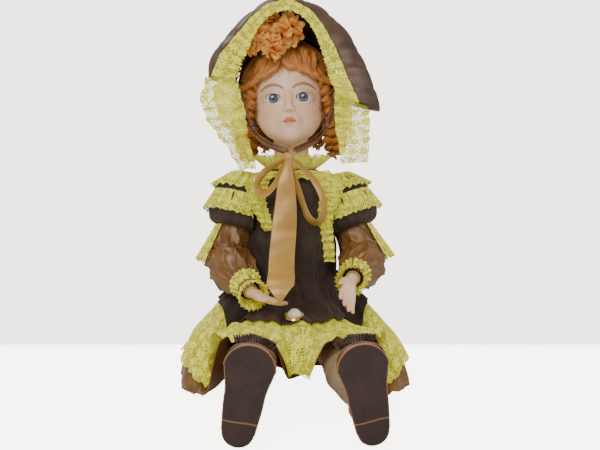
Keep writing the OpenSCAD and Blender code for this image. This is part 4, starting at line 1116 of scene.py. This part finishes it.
def beside_body(grid, sign, clear=40.9):
    """Presses a sleeve flat where it would reach into the bodice."""
    grid = grid.copy()
    grid[..., 0] = sign * np.maximum(sign * grid[..., 0], clear + 0.15 * np.sin(grid[..., 2]))
    return grid


puff_profile = along(np.array([[11.8, 36, 0], [22, 34, 0], [30, 37, 0], [34, 46, 0], [34.5, 59, 0],
                               [31.5, 74, 0],
                               [27.5, 84.5, 0], [20, 92, 0], [12, 95.5, 0]], float), 64)
for side, sign in (("left", 1), ("right", -1)):
    e, s, w = elbows[side], shoulders[side], wrists[side]
    turn = np.linspace(0, 2 * math.pi, 220, endpoint=False)[None]
    share = np.linspace(0, 1, 64)[:, None]
    r, at = puff_profile[:, :1], puff_profile[:, 1:2]
    full = np.sin(math.pi * share)
    pleats = np.sin(21 * turn + 1.5 * np.sin(2 * turn + sign) + 1.2 * share)
    creases = np.abs(np.sin(3.5 * turn + 3 * share + sign)) ** 0.8
    grow = 0.6 * pleats * (0.35 + full ** 0.5) * (1 - 0.55 * full) + 1.9 * creases * full - 0.6
    puff = beside_body(spun(e, s, r + grow, at + 0 * turn, turn + 0 * share), sign)
    inner = beside_body(spun(e, s, r * 0.9 - 1.2, at * 0.985 + 1.2 + 0 * turn, turn + 0 * share), sign, 41.6)
    sleeve = surface(f"velvet_puff_{side}", np.concatenate([puff, inner[::-1]]), (True, True), flip=True,
                     material=velvet)
    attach(sleeve, f"upper_arm_{side}")
    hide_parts(f"sleeve_puff_{side}")
    way = unit(w - e)
    up_way = unit(s - e)
    middle = along(np.array([[*(e + up_way * 37.4), 18.5], [*(e + up_way * 22 + [sign * 1.5, 0, 0]), 20.5],
                             [*(e + up_way * 4 + way * 3 + [sign * 2.2, 0, -1]), 22.5],
                             [*(e + way * 18 + [sign * 2, 0, 0]), 23.2],
                             [*(e + way * 38 + [sign * 2, 0, 1.5]), 22.6], [*(e + way * 55), 17.6],
                             [*(e + way * 67), 12.6], [*(e + way * 74), 10.8], [*(e + way * 77), 10.6]]), 110)
    line, r = middle[:, :3], middle[:, 3:4]
    ahead = unit(np.gradient(line, axis=0))
    across = unit(np.cross(ahead, [0.9 * sign, 0.25, 0.1]))
    over = np.cross(ahead, across)
    share = np.linspace(0, 1, 110)[:, None]
    turn = np.linspace(0, 2 * math.pi, 200, endpoint=False)[None]
    full = np.sin(math.pi * np.clip(share, 0, 1)) ** 0.8
    sag = turn + 0.5 * np.sin(4.2 * share + sign)
    rising = (1 - np.abs(np.sin(4 * sag + 8 * share + 0.8 * sign))) ** 1.3
    falling = (1 - np.abs(np.sin(5.5 * sag - 9 * share + 1.1))) ** 1.5
    broad = rising + 0.8 * falling
    drawn = 0.7 * np.sin(17 * turn + 2 * np.sin(3 * turn)) * ease((share - 0.62) / 0.3)
    grow = 2.9 * (broad - 0.62) * full + drawn + 0.35 * np.sin(11 * turn + 20 * share) * full
    sleeve_grid = line[:, None] + (r + grow)[..., None] * (
        np.cos(turn)[..., None] * across[:, None] + np.sin(turn)[..., None] * over[:, None])
    under = surface(f"satin_undersleeve_{side}", sleeve_grid, (False, True), flip=True, material=gold_satin)
    thickened(under, 0.8, -1)
    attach(under, f"forearm_{side}")
    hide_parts(f"satin_sleeve_{side}")

# ---------- lace trimmings ----------
# Gathered strips of the same lime lace stand round the neck, down the front, round both ends of each puff,
# over the elbows and at the cuffs.
def frill(path, across, width, waves, depth, rows=14, per_wave=9, low=0.0, closed=False, phase=0.0,
          scallop=0.08):
    """A gathered strip: from each point of the seam it runs across by its width, and sways to its two sides
    by the depth, more towards the edge, which stands in rounded ruffles and is a little scalloped.
    A low of -1 gives a strip that is gathered along its middle."""
    if len(across) == 1:
        across = list(across) * len(path)
    given = np.column_stack([path, unit(across), np.broadcast_to(width, len(path))])
    laid = along(given, int(waves * per_wave), closed)
    seam, wide, span = laid[:, :3], unit(laid[:, 3:6]), laid[:, 6]
    way = unit(np.roll(seam, -1, 0) - np.roll(seam, 1, 0)) if closed else unit(np.gradient(seam, axis=0))
    out = unit(np.cross(way, wide))
    s = np.linspace(0, 1, len(seam), endpoint=not closed)
    turn = 2 * math.pi * waves * s + 0.7 * np.sin(2 * math.pi * 3 * s + phase) + phase
    t = np.linspace(low, 1, rows)[:, None]
    open_ = np.abs(t) ** 0.85
    edge = 1 + scallop * np.abs(np.sin(turn * 0.75)) * np.clip((np.abs(t) - 0.5) * 2, 0, 1)
    sway = depth * open_ * np.sin(turn)
    slide = 0.45 * depth * open_ * np.sin(2 * turn + 0.4)
    return (seam + (t * span * edge)[..., None] * wide + sway[..., None] * out + slide[..., None] * way)


def lace_piece(name, grid, body, closed=False, node=None):
    """Makes one lace strip, puts it on its body and hides the CAD node it stands for, if one is named."""
    strip = surface(name, grid, (False, closed), material=lace)
    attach(strip, body)
    if node:
        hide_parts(node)
    return strip


ring = np.linspace(0, 2 * math.pi, 40, endpoint=False)
collar_path = np.stack([25.6 * np.cos(ring), 2 + 25.2 * np.sin(ring), 213.6 + 0 * ring], -1)
collar_out = np.stack([1.0 * np.cos(ring), 0.8 * np.sin(ring), 1 + 0 * ring], -1)
lace_piece("lace_collar", frill(collar_path, collar_out, 19, 22, 2.8, closed=True), "torso",
           True, "collar_lace")
yoke_path = np.stack([28.5 * np.cos(ring), 1 + 27.5 * np.sin(ring), 212.5 + 0 * ring], -1)
yoke_out = np.stack([np.cos(ring), 0.8 * np.sin(ring), -0.32 - 0.25 * np.abs(np.sin(ring))], -1)
lace_piece("lace_yoke", frill(yoke_path, yoke_out, 14.5, 20, 1.8, closed=True, phase=1), "torso",
           True)
front_left = [[27, -30, 212], [37, -36, 201], [38, -41, 186], [33, -43.5, 169], [34, -43.4, 151],
              [36, -42.6, 134], [37, -42, 119]]
front_right = [[-24, -30, 212], [-36, -36, 200], [-38, -40.5, 187], [-35, -43, 174], [-29, -43.6, 162],
               [-25, -43.6, 151]]
lace_piece("lace_front_left", frill(front_left, [[1, -0.25, 0]], np.array([9, 12.5, 11, 7.5, 6, 5.5, 5.2]),
                                    13, 4.4, low=-1),
           "torso", False, "bodice_lace")
lace_piece("lace_front_right", frill(front_right, [[-1, -0.25, 0]], np.array([9, 11, 9.5, 8, 6.5, 5.4]),
                                     10, 4.4, low=-1),
           "torso")
for side, sign in (("left", 1), ("right", -1)):
    e, s, w = elbows[side], shoulders[side], wrists[side]

    def ring_at(a, b, r, at):
        return spun(a, b, np.full(40, float(r)), np.full(40, float(at)), ring)

    for name, (r0, s0), (r1, s1), waves, body_clear in (("top", (22, 93), (37.5, 74), 26, 41.2),
                                                        ("hem", (34.5, 69), (39.5, 47), 28, 41.2)):
        seam, edge = ring_at(e, s, r0, s0), ring_at(e, s, r1, s1)
        width = np.linalg.norm(edge - seam, axis=1)
        grid = beside_body(frill(seam, edge - seam, width, waves, 1.9, closed=True, phase=sign),
                           sign, body_clear)
        lace_piece(f"lace_puff_{name}_{side}", grid, f"upper_arm_{side}",
                   True,
                   f"sleeve_lace_{side}" if name == "top" else None)
    seam, edge = ring_at(e, w, 9.8, 74.5), ring_at(e, w, 14.8, 91)
    lace_piece(f"lace_cuff_{side}", frill(seam, edge - seam, np.linalg.norm(edge - seam, axis=1), 22,
                                          1.7, closed=True),
               f"forearm_{side}", True, f"cuff_lace_{side}")
    seam, edge = ring_at(e, w, 11.0, 74.0), ring_at(e, w, 15.8, 62.0)
    lace_piece(f"lace_cuff_back_{side}",
               frill(seam, edge - seam, np.linalg.norm(edge - seam, axis=1), 20, 1.5, closed=True, phase=2),
               f"forearm_{side}", True)
    out_turn = math.atan2(float(
        np.cross(unit(s - e), unit(np.cross(unit(s - e), [0.02, 1, 0.05]))) @ [sign, 0.35, 0]),
                          float(unit(np.cross(unit(s - e), [0.02, 1, 0.05])) @ [sign, 0.35, 0]))
    fan = out_turn + np.linspace(-1.15, 1.15, 16)
    seam = spun(e, s, np.full(16, 23.0), np.full(16, 33.0), fan)
    edge = spun(e, s, np.full(16, 31.5), np.full(16, -6.0), fan)
    lace_piece(f"lace_elbow_{side}", frill(seam, edge - seam, np.linalg.norm(edge - seam, axis=1), 15,
                                           1.8, phase=1),
               f"forearm_{side}")

# ---------- bonnet ----------
# A brown satin poke bonnet: a wide puffed brim over a card shape, lined with the same satin and pleated
# where it meets a soft gathered crown. Its edge dips at the temples and rises to a peak over the flowers.
bonnet_satin = woven("bonnet_satin", (0.120, 0.062, 0.028), (0.048, 0.024, 0.012), 0.32, 30, 0.9, 0.12,
                     Metallic=0.2)
brim_turns = np.radians([-83, -75, -64, -50, -36, -22, -8, 6, 20, 34, 48, 62, 76, 90, 100, 109])
brim_edge = np.array([75, 73, 71, 68, 69, 74, 79, 80, 74, 66, 60, 57, 57, 60, 66, 74.0])
brim_puff = np.array([78, 80, 80, 77, 77, 80, 83, 84, 84, 82, 79, 79, 80, 84, 92, 97.0])


def round_head(turn, r, y):
    """A point of the bonnet: its angle from the top, distance from the head's middle line, and depth."""
    return np.stack(np.broadcast_arrays(r * np.sin(turn), y, 300 + r * np.cos(turn)), -1)


e, p = brim_edge, brim_puff
same = np.ones(16)
corners = [(e - 0.2, -62 * same), (e + 2.6, -61 * same), ((e + p) / 2 + 4, -50 * same), (p + 0.6, -38 * same),
           (p - 3, -16 * same),
           (61 * same, 1 * same), (57.5 * same, 6 * same), (55 * same, 5.6 * same),
           (np.maximum(57, p - 11), -14 * same),
           (p - 6, -34 * same), ((e + p) / 2 - 3, -50 * same)]
turns = along(np.column_stack([np.degrees(brim_turns), 0 * same, 0 * same]), 300)[:, 0]
section = np.stack([np.stack([np.interp(turns, np.degrees(brim_turns), c[0]),
                              np.interp(turns, np.degrees(brim_turns), c[1])], -1)
                    for c in corners], 1)
kernel = np.exp(-(np.arange(-12, 13) / 6.0) ** 2)
padded_section = np.concatenate([np.repeat(section[:1], 12, 0), section, np.repeat(section[-1:], 12, 0)])
section = sum(k * padded_section[i:i + 300] for i, k in enumerate(kernel)) / kernel.sum()
loops = np.stack([along(np.column_stack([s, np.zeros(11)]), 96, closed=True)[:, :2] for s in section])
a = np.radians(turns)[:, None]
v = np.arange(96)[None] / 96
back_share = ease((loops[..., 1] + 34) / 36)
outer = (v < 0.52)
crease = np.abs(np.sin(a * 7.3 + 0.9 * np.sin(a * 3.1) + 5.5 * v)) ** 0.6 + 0.5 * np.abs(
    np.sin(a * 9.1 - 7 * v + 1)) ** 0.7
fold = np.where(outer, (crease - 1.1) * 2.6 * np.sin(math.pi * np.clip(v / 0.52, 0, 1)) ** 0.8,
                0.7 * np.sin(a * 34 + 2 * v) * np.sin(math.pi * np.clip((v - 0.52) / 0.48, 0, 1)))
gather = 1.15 * back_share * np.sin(a * 64 + 1.6 * np.sin(a * 7)) * np.where(outer, 1, 0.4)
r = loops[..., 0] + fold + gather
brim_grid = round_head(a + 0 * r, r, loops[..., 1] + np.where(outer, 0.5 * np.sin(a * 21), 0))
closing = brim_grid.mean(1, keepdims=True)
brim_grid = np.concatenate([closing[:1] + 0.02 * (brim_grid[:1] - closing[:1]), brim_grid,
                            closing[-1:] + 0.02 * (brim_grid[-1:] - closing[-1:])])
brim = surface("bonnet_brim_puff", on_head(brim_grid), (False, True), flip=True, weld=True,
               material=bonnet_satin)
a = np.linspace(-math.pi / 2 + 0.02, math.pi / 2 - 0.02, 220)[None]
reach = np.radians(30) + np.arccos(np.clip(-0.165 / np.cos(a), -1, 1))
share = np.linspace(0, 1, 70)[:, None]
b = -0.16 + (np.minimum(reach, 2.75) + 0.16) * share
gathers = 1.1 * np.sin(a * 46 + 1.5 * np.sin(5 * a)) * (
    np.exp(-share * 5) * ease(share * 7) + 0.5 * np.exp(-(1 - share) * 7))
slack = 1.5 * np.abs(np.sin(a * 5.2 + 3.5 * share)) ** 0.7 * np.sin(math.pi * share)
r = 54.0 + gathers + slack - 1.2
crown_grid = cranium + r[..., None] * np.stack([np.sin(a) + 0 * b, np.cos(a) * np.sin(b),
                                                np.cos(a) * np.cos(b)], -1)
crown = surface("bonnet_crown_bag", on_head(crown_grid), flip=True, material=bonnet_satin)
thickened(crown, 1.0, -1)
for piece, node in ((brim, "bonnet_brim"), (crown, "bonnet_crown")):
    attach(piece, "head")
    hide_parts(node)

# ---------- lace on the bonnet ----------
# A flat lace band lines the brim's edge; a crumpled bunch of it hangs at the right temple, and a long
# straight fall at the left.
seam = round_head(brim_turns, brim_edge + 0.5, -62.5 * same)
band_in = np.interp(np.degrees(brim_turns), [-83, -60, -40, -15, 12, 40, 75, 109],
                    [26, 22, 16, 12, 11, 13, 16, 21])
inward = -np.stack([np.sin(brim_turns), 0.18 * same, np.cos(brim_turns)], -1)
lace_piece("lace_brim", on_head(frill(seam, inward, band_in, 34, 1.3, rows=12)), "head",
           False, "bonnet_lace")
bunch_path = [[-67, -52, 312], [-69, -50, 295], [-67, -47, 277], [-62, -43, 260], [-55, -38, 244],
              [-49, -31, 229], [-46, -27, 217]]
lace_piece("lace_bunch", on_head(frill(bunch_path, [[1, -0.15, 0.1]], np.array([12, 18, 18, 15, 12, 10, 8]),
                                       5, 4.0, low=-1, per_wave=30, phase=0.5, scallop=0.12)),
           "head", False, "lappet_right")
bunch_path = [[-60, -58, 309], [-61, -58, 294], [-58, -56, 279], [-54, -52, 264], [-50, -46, 251]]
lace_piece("lace_bunch_front", on_head(frill(bunch_path, [[1, 0.1, 0.2]], np.array([8, 12, 12, 10, 7]), 4,
                                             3.5, low=-1, per_wave=28, phase=2.4, scallop=0.12)),
           "head")
fall_path = [[62, -50, 300], [65, -50, 285], [66, -46, 268], [65.5, -40, 250], [65, -34, 233],
             [64.5, -31, 217]]
lace_piece("lace_fall", on_head(frill(fall_path, [[1, 0.12, 0]], np.array([9, 13, 14.5, 15, 14.5, 13.5]), 6,
                                      2.3, low=-1, per_wave=18, scallop=0.1)),
           "head", False, "lappet_left")
fall_path = [[52, -55, 302], [53.5, -54, 286], [54, -49, 268], [54.5, -43, 250], [56, -38, 236]]
lace_piece("lace_fall_inner", on_head(frill(fall_path, [[1, 0.2, 0]], np.array([5, 7, 8, 8, 6.5]), 6, 2.6,
                                            low=-1, per_wave=16, phase=1.1)),
           "head")

# ---------- silk flowers ----------
# Loose blooms of cut and curled amber silk are wired inside the brim: rust at the root, pale at the lip.
petal_silk = new_material("amber_silk", (0.75, 0.33, 0.08), 0.6, Subsurface_Weight=0.08,
                          Subsurface_Scale=0.002)
tree = petal_silk.node_tree
at = wire(tree, "ShaderNodeSeparateXYZ", inputs={0: place_in_cloth(tree)})
dip = wire(tree, "ShaderNodeTexNoise", inputs={"Vector": place_on(tree), "Scale": 95.0, "Detail": 3.0})
place = wire(tree, "ShaderNodeMath", operation="MULTIPLY_ADD", inputs={
    0: dip.outputs[0], 1: 0.55,
    2: wire(tree, "ShaderNodeMath", operation="SUBTRACT", inputs={0: at.outputs[1], 1: 0.27}).outputs[0]})
silk_tones = tones_of(tree, place.outputs[0], (0.08, (0.34, 0.05, 0.006)), (1, (0.92, 0.50, 0.12)),
                      (0.5, (0.78, 0.25, 0.03)))
veins = wire(tree, "ShaderNodeTexWave", bands_direction="X", inputs={
    "Vector": place_in_cloth(tree), "Scale": 3.4, "Distortion": 1.5})
shade(tree, silk_tones, veins.outputs[1], 0.35)
petals = []
seed = np.random.default_rng(5)
v, u = np.meshgrid(np.linspace(0, 1, 11), np.linspace(-1, 1, 9), indexing="ij")
for middle, radius, count in (((-22, -45, 350), 14.5, 40), ((3, -46, 353), 17.5, 54),
                              ((-12, -50, 338), 14.5, 44),
                              ((-10, -43, 360), 12.5, 22), ((-35, -46, 341), 11.5, 30)):
    for k in range(count):
        high = 1 - 2 * (k + 0.5) / count
        spin = k * 2.39996
        out = np.array([math.sqrt(1 - high * high) * math.cos(spin), -abs(high) if k % 5 else high,
                        math.sqrt(1 - high * high) * math.sin(spin)])
        out = unit(out + seed.normal(0, 0.12, 3))
        side_way = unit(np.cross(out, seed.normal(0, 1, 3)))
        up_way = np.cross(side_way, out)
        grown = unit(out * 0.75 + up_way * 0.65)
        back_way = np.cross(grown, side_way)
        long_, wide = radius * seed.uniform(0.62, 0.8), radius * seed.uniform(0.30, 0.40)
        root = np.array(middle) + out * radius * 0.40 - up_way * long_ * 0.35
        outline = np.sin(math.pi * np.clip(v * 0.86 + 0.07, 0, 1)) ** 0.75 * (1 - 0.25 * v ** 3)
        cup = seed.uniform(0.18, 0.42)
        roll = seed.uniform(-0.5, 1.0)
        petals.append(root + (v * long_)[..., None] * grown + (u * wide * outline)[..., None] * side_way
                      + (wide * cup * (u ** 2 - 0.4) * outline * (1 - 1.4 * v) + roll * long_ * 0.42 * v ** 3
                         + 0.35 * np.sin(u * 5 + k) * v)[..., None] * back_way)
petal_uv = np.broadcast_to(np.stack([u, v], -1), (len(petals), 11, 9, 2))
flowers = surface("silk_blooms", on_head(np.stack(petals)), uv=petal_uv, material=petal_silk)
thickened(flowers, 0.25, -1, "silk")
heart_balls = [round_capsule(c, np.array(c) + [0, -0.1, 0], r, r, rows=12, cols=18) for c, r in
               (((-22, -44, 350), 8.5), ((3, -45, 353), 10.5), ((-12, -48, 339), 9), ((-10, -42, 359), 7.5),
                ((-35, -45, 341), 7))]
hearts = surface("silk_bloom_hearts", on_head(np.stack(heart_balls)), (False, True), weld=True, flip=True,
                 uv=np.full((5, 12, 19, 2), 0.05), material=petal_silk)
for piece in (flowers, hearts):
    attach(piece, "head")
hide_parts("flower_spray")

# ---------- ribbons ----------
# Satin ribbon ties the bonnet: two straps along the jaw, a bow of two long loops under the chin, and a
# wide tail that hangs down the bodice and over the right arm to the lap, cut to a point.
ribbon_satin = woven("gold_ribbon_satin", (0.56, 0.33, 0.085), (0.38, 0.20, 0.045), 0.30, 22, 1.1, 0.1,
                     Metallic=0.2)
strap_satin = woven("brown_strap_satin", (0.22, 0.10, 0.035), (0.12, 0.052, 0.018), 0.32, 30, 1.1, 0.1,
                    Metallic=0.2)


def ribbon(path, across, width, rows=11, count=160, cup=0.0, ripple=0.0, end_cut=0.0):
    """A flat strip along a smooth path: a straight line of the given width carried along it, bent across by
    the cup, waved along by the ripple, and pulled back at the sides of its end to cut it to a point."""
    if len(across) == 1:
        across = list(across) * len(path)
    laid = along(np.column_stack([path, unit(across), np.broadcast_to(width, len(path))]), count)
    seam, wide, span = laid[:, :3], unit(laid[:, 3:6]), laid[:, 6:7]
    way = unit(np.gradient(seam, axis=0))
    out = unit(np.cross(way, wide))
    t = np.linspace(-1, 1, rows)[None]
    s = np.linspace(0, 1, count)[:, None]
    keep = np.clip(s * (1 - end_cut * np.abs(t) * ease((s - 0.6) / 0.4)), 0, 1) * (count - 1)
    k = np.minimum(keep.astype(int), count - 2)
    f = (keep - k)[..., None]
    seam = seam[k] * (1 - f) + seam[k + 1] * f
    lift = cup * (1 - t ** 2) + ripple * np.sin(s * 23 + t * 1.2) * np.sin(math.pi * s)
    return seam + (t * span / 2)[..., None] * wide[:, None] + lift[..., None] * out[:, None]


def ribbon_piece(name, grid, material, body=None, node=None):
    """Makes one ribbon, a little thick, puts it on its body and hides the CAD node it stands for, where these
    are given.
    """
    made = surface(name, grid, material=material)
    thickened(made, 0.45)
    if body:
        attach(made, body)
    if node:
        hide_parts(node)
    return made


for side, sign in (("left", 1), ("right", -1)):
    for layer, (shift, tuck_in) in enumerate(((0, 0.6), (2.2, -1.0))):
        run = np.array([[50, -30, 296], [46.5, -34, 282], [42.5, -36.5, 268], [35.5, -40.5, 253.5],
                        [24, -43.5, 242], [12, -45.5, 236.2], [3, -46.5, 233]])
        run = run + np.array([0.3, 0, -0.9]) * shift + np.array([-1, 0, 0]) * tuck_in
        lean_out = np.array([[0.75, -0.4, 0.1], [0.7, -0.5, 0.2], [0.62, -0.5, 0.5], [0.45, -0.45, 0.75],
                             [0.25, -0.4, 0.9], [0.1, -0.3, 1], [0.05, -0.2, 1]])
        width = [6.5, 6.2, 6, 5.8, 5.4, 5, 4.4]
        strap = on_head(ribbon(run * [sign, 1, 1], lean_out * [sign, 1, 1], width, cup=0.7, ripple=0.35))
        ribbon_piece(f"chin_strap_{side}_{layer}", strap, strap_satin, "head",
                     "chin_ribbon" if layer == 0 else None)
knot = np.array([-6, -48.5, 225.5])


def bow_loop(front_path, depth):
    """An open loop of ribbon seen from in front: the path's points give it left-right and height, it comes
    forward by the depth at the tip, and the ribbon stands half edge-on all the way round."""
    flat_path = np.array(front_path, float)
    share = np.linspace(0, math.pi, len(flat_path))
    path = np.stack([flat_path[:, 0], knot[1] - 1 - depth * np.sin(share), flat_path[:, 1]], -1)
    onward = unit(np.gradient(path, axis=0))
    across = 0.62 * np.cross(onward, [0, 1, 0]) + np.array([0, 0.78, 0])
    width = 4.5 + 6.4 * np.sin(share) ** 0.4
    return ribbon(path, across, width, rows=13, count=180, cup=0.7, ripple=0.5)


right_loop = bow_loop([[-8, 225], [-17, 219], [-28, 212], [-36, 202], [-36, 193], [-29, 189], [-20, 197],
                       [-13, 210], [-8, 223]], 5)
ribbon_piece("bow_loop_right", right_loop, ribbon_satin, "torso", "ribbon_bow")
left_loop = bow_loop([[-4, 225], [6, 217], [18, 205], [27, 189], [30, 172], [25, 160], [16, 163], [9, 178],
                      [2, 200], [-4, 222]], 6)
ribbon_piece("bow_loop_left", left_loop, ribbon_satin, "torso")
turn = np.linspace(0, 2 * math.pi, 48, endpoint=False)[None]
rise = np.linspace(-1, 1, 26)[:, None]
body = np.sqrt(np.clip(1 - rise ** 2, 0.0004, 1)) ** 0.8 * (1 + 0.06 * np.sin(turn * 9 + 2 * rise))
knot_grid = knot + np.stack([5.4 * body * np.cos(turn), 4.4 * body * np.sin(turn) - 1.2,
                             5.0 * rise + 0.9 * np.sin(turn * 2) * body], -1)
knot_piece = surface("bow_knot", knot_grid, (False, True), weld=True, flip=False, material=ribbon_satin)
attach(knot_piece, "torso")
tail_path = [[-6, -52, 222], [-7, -56.5, 211], [-8, -59.5, 198], [-8.5, -61.5, 180], [-9.5, -63, 163],
             [-11, -67.5, 146], [-13, -82, 127],
             [-14, -104, 114.6], [-15, -121, 107.6], [-16, -128.6, 99], [-16, -130, 87.5]]
tail_grid = ribbon(tail_path, [[1, 0, 0]], [6, 11, 17, 21, 24, 25, 25, 25, 26, 26, 26], rows=25, count=260,
                   cup=1.0, ripple=0.8, end_cut=0.11)
tail = ribbon_piece("ribbon_tail_strip", tail_grid, ribbon_satin, None, "ribbon_tail")
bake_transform(tail)

# ---------- brooch ----------
# A pearl in a gilt cup with a beaded rim, pinned to the lap.
pearl = mottled("pearl_lustre", (0.88, 0.80, 0.74), (0.78, 0.70, 0.70), 0.18, 120, 0.1, 0.02, Coat_Weight=0.8,
                Sheen_Weight=0.3)
repaint(pearl, "brooch_pearl")
repaint(gilt, "brooch_setting")
pin = np.array([-1.5, -102.5, 71.0])
tip_back = math.radians(12)
ring = np.linspace(0, 2 * math.pi, 26, endpoint=False)
rim = np.stack([8.3 * np.cos(ring), 8.3 * np.sin(ring), 2.6 + 0 * ring], -1)
rim = np.stack([rim[:, 0], rim[:, 1] * math.cos(tip_back) - rim[:, 2] * math.sin(tip_back),
                rim[:, 1] * math.sin(tip_back) + rim[:, 2] * math.cos(tip_back)], -1) + pin
beads = surface("brooch_beads",
                np.stack([round_capsule(b, b + [0, 0, 0.05], 1.0, 1.0, rows=9, cols=10) for b in rim]),
                (False, True), weld=True, flip=True, material=gilt)
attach(beads, "torso")
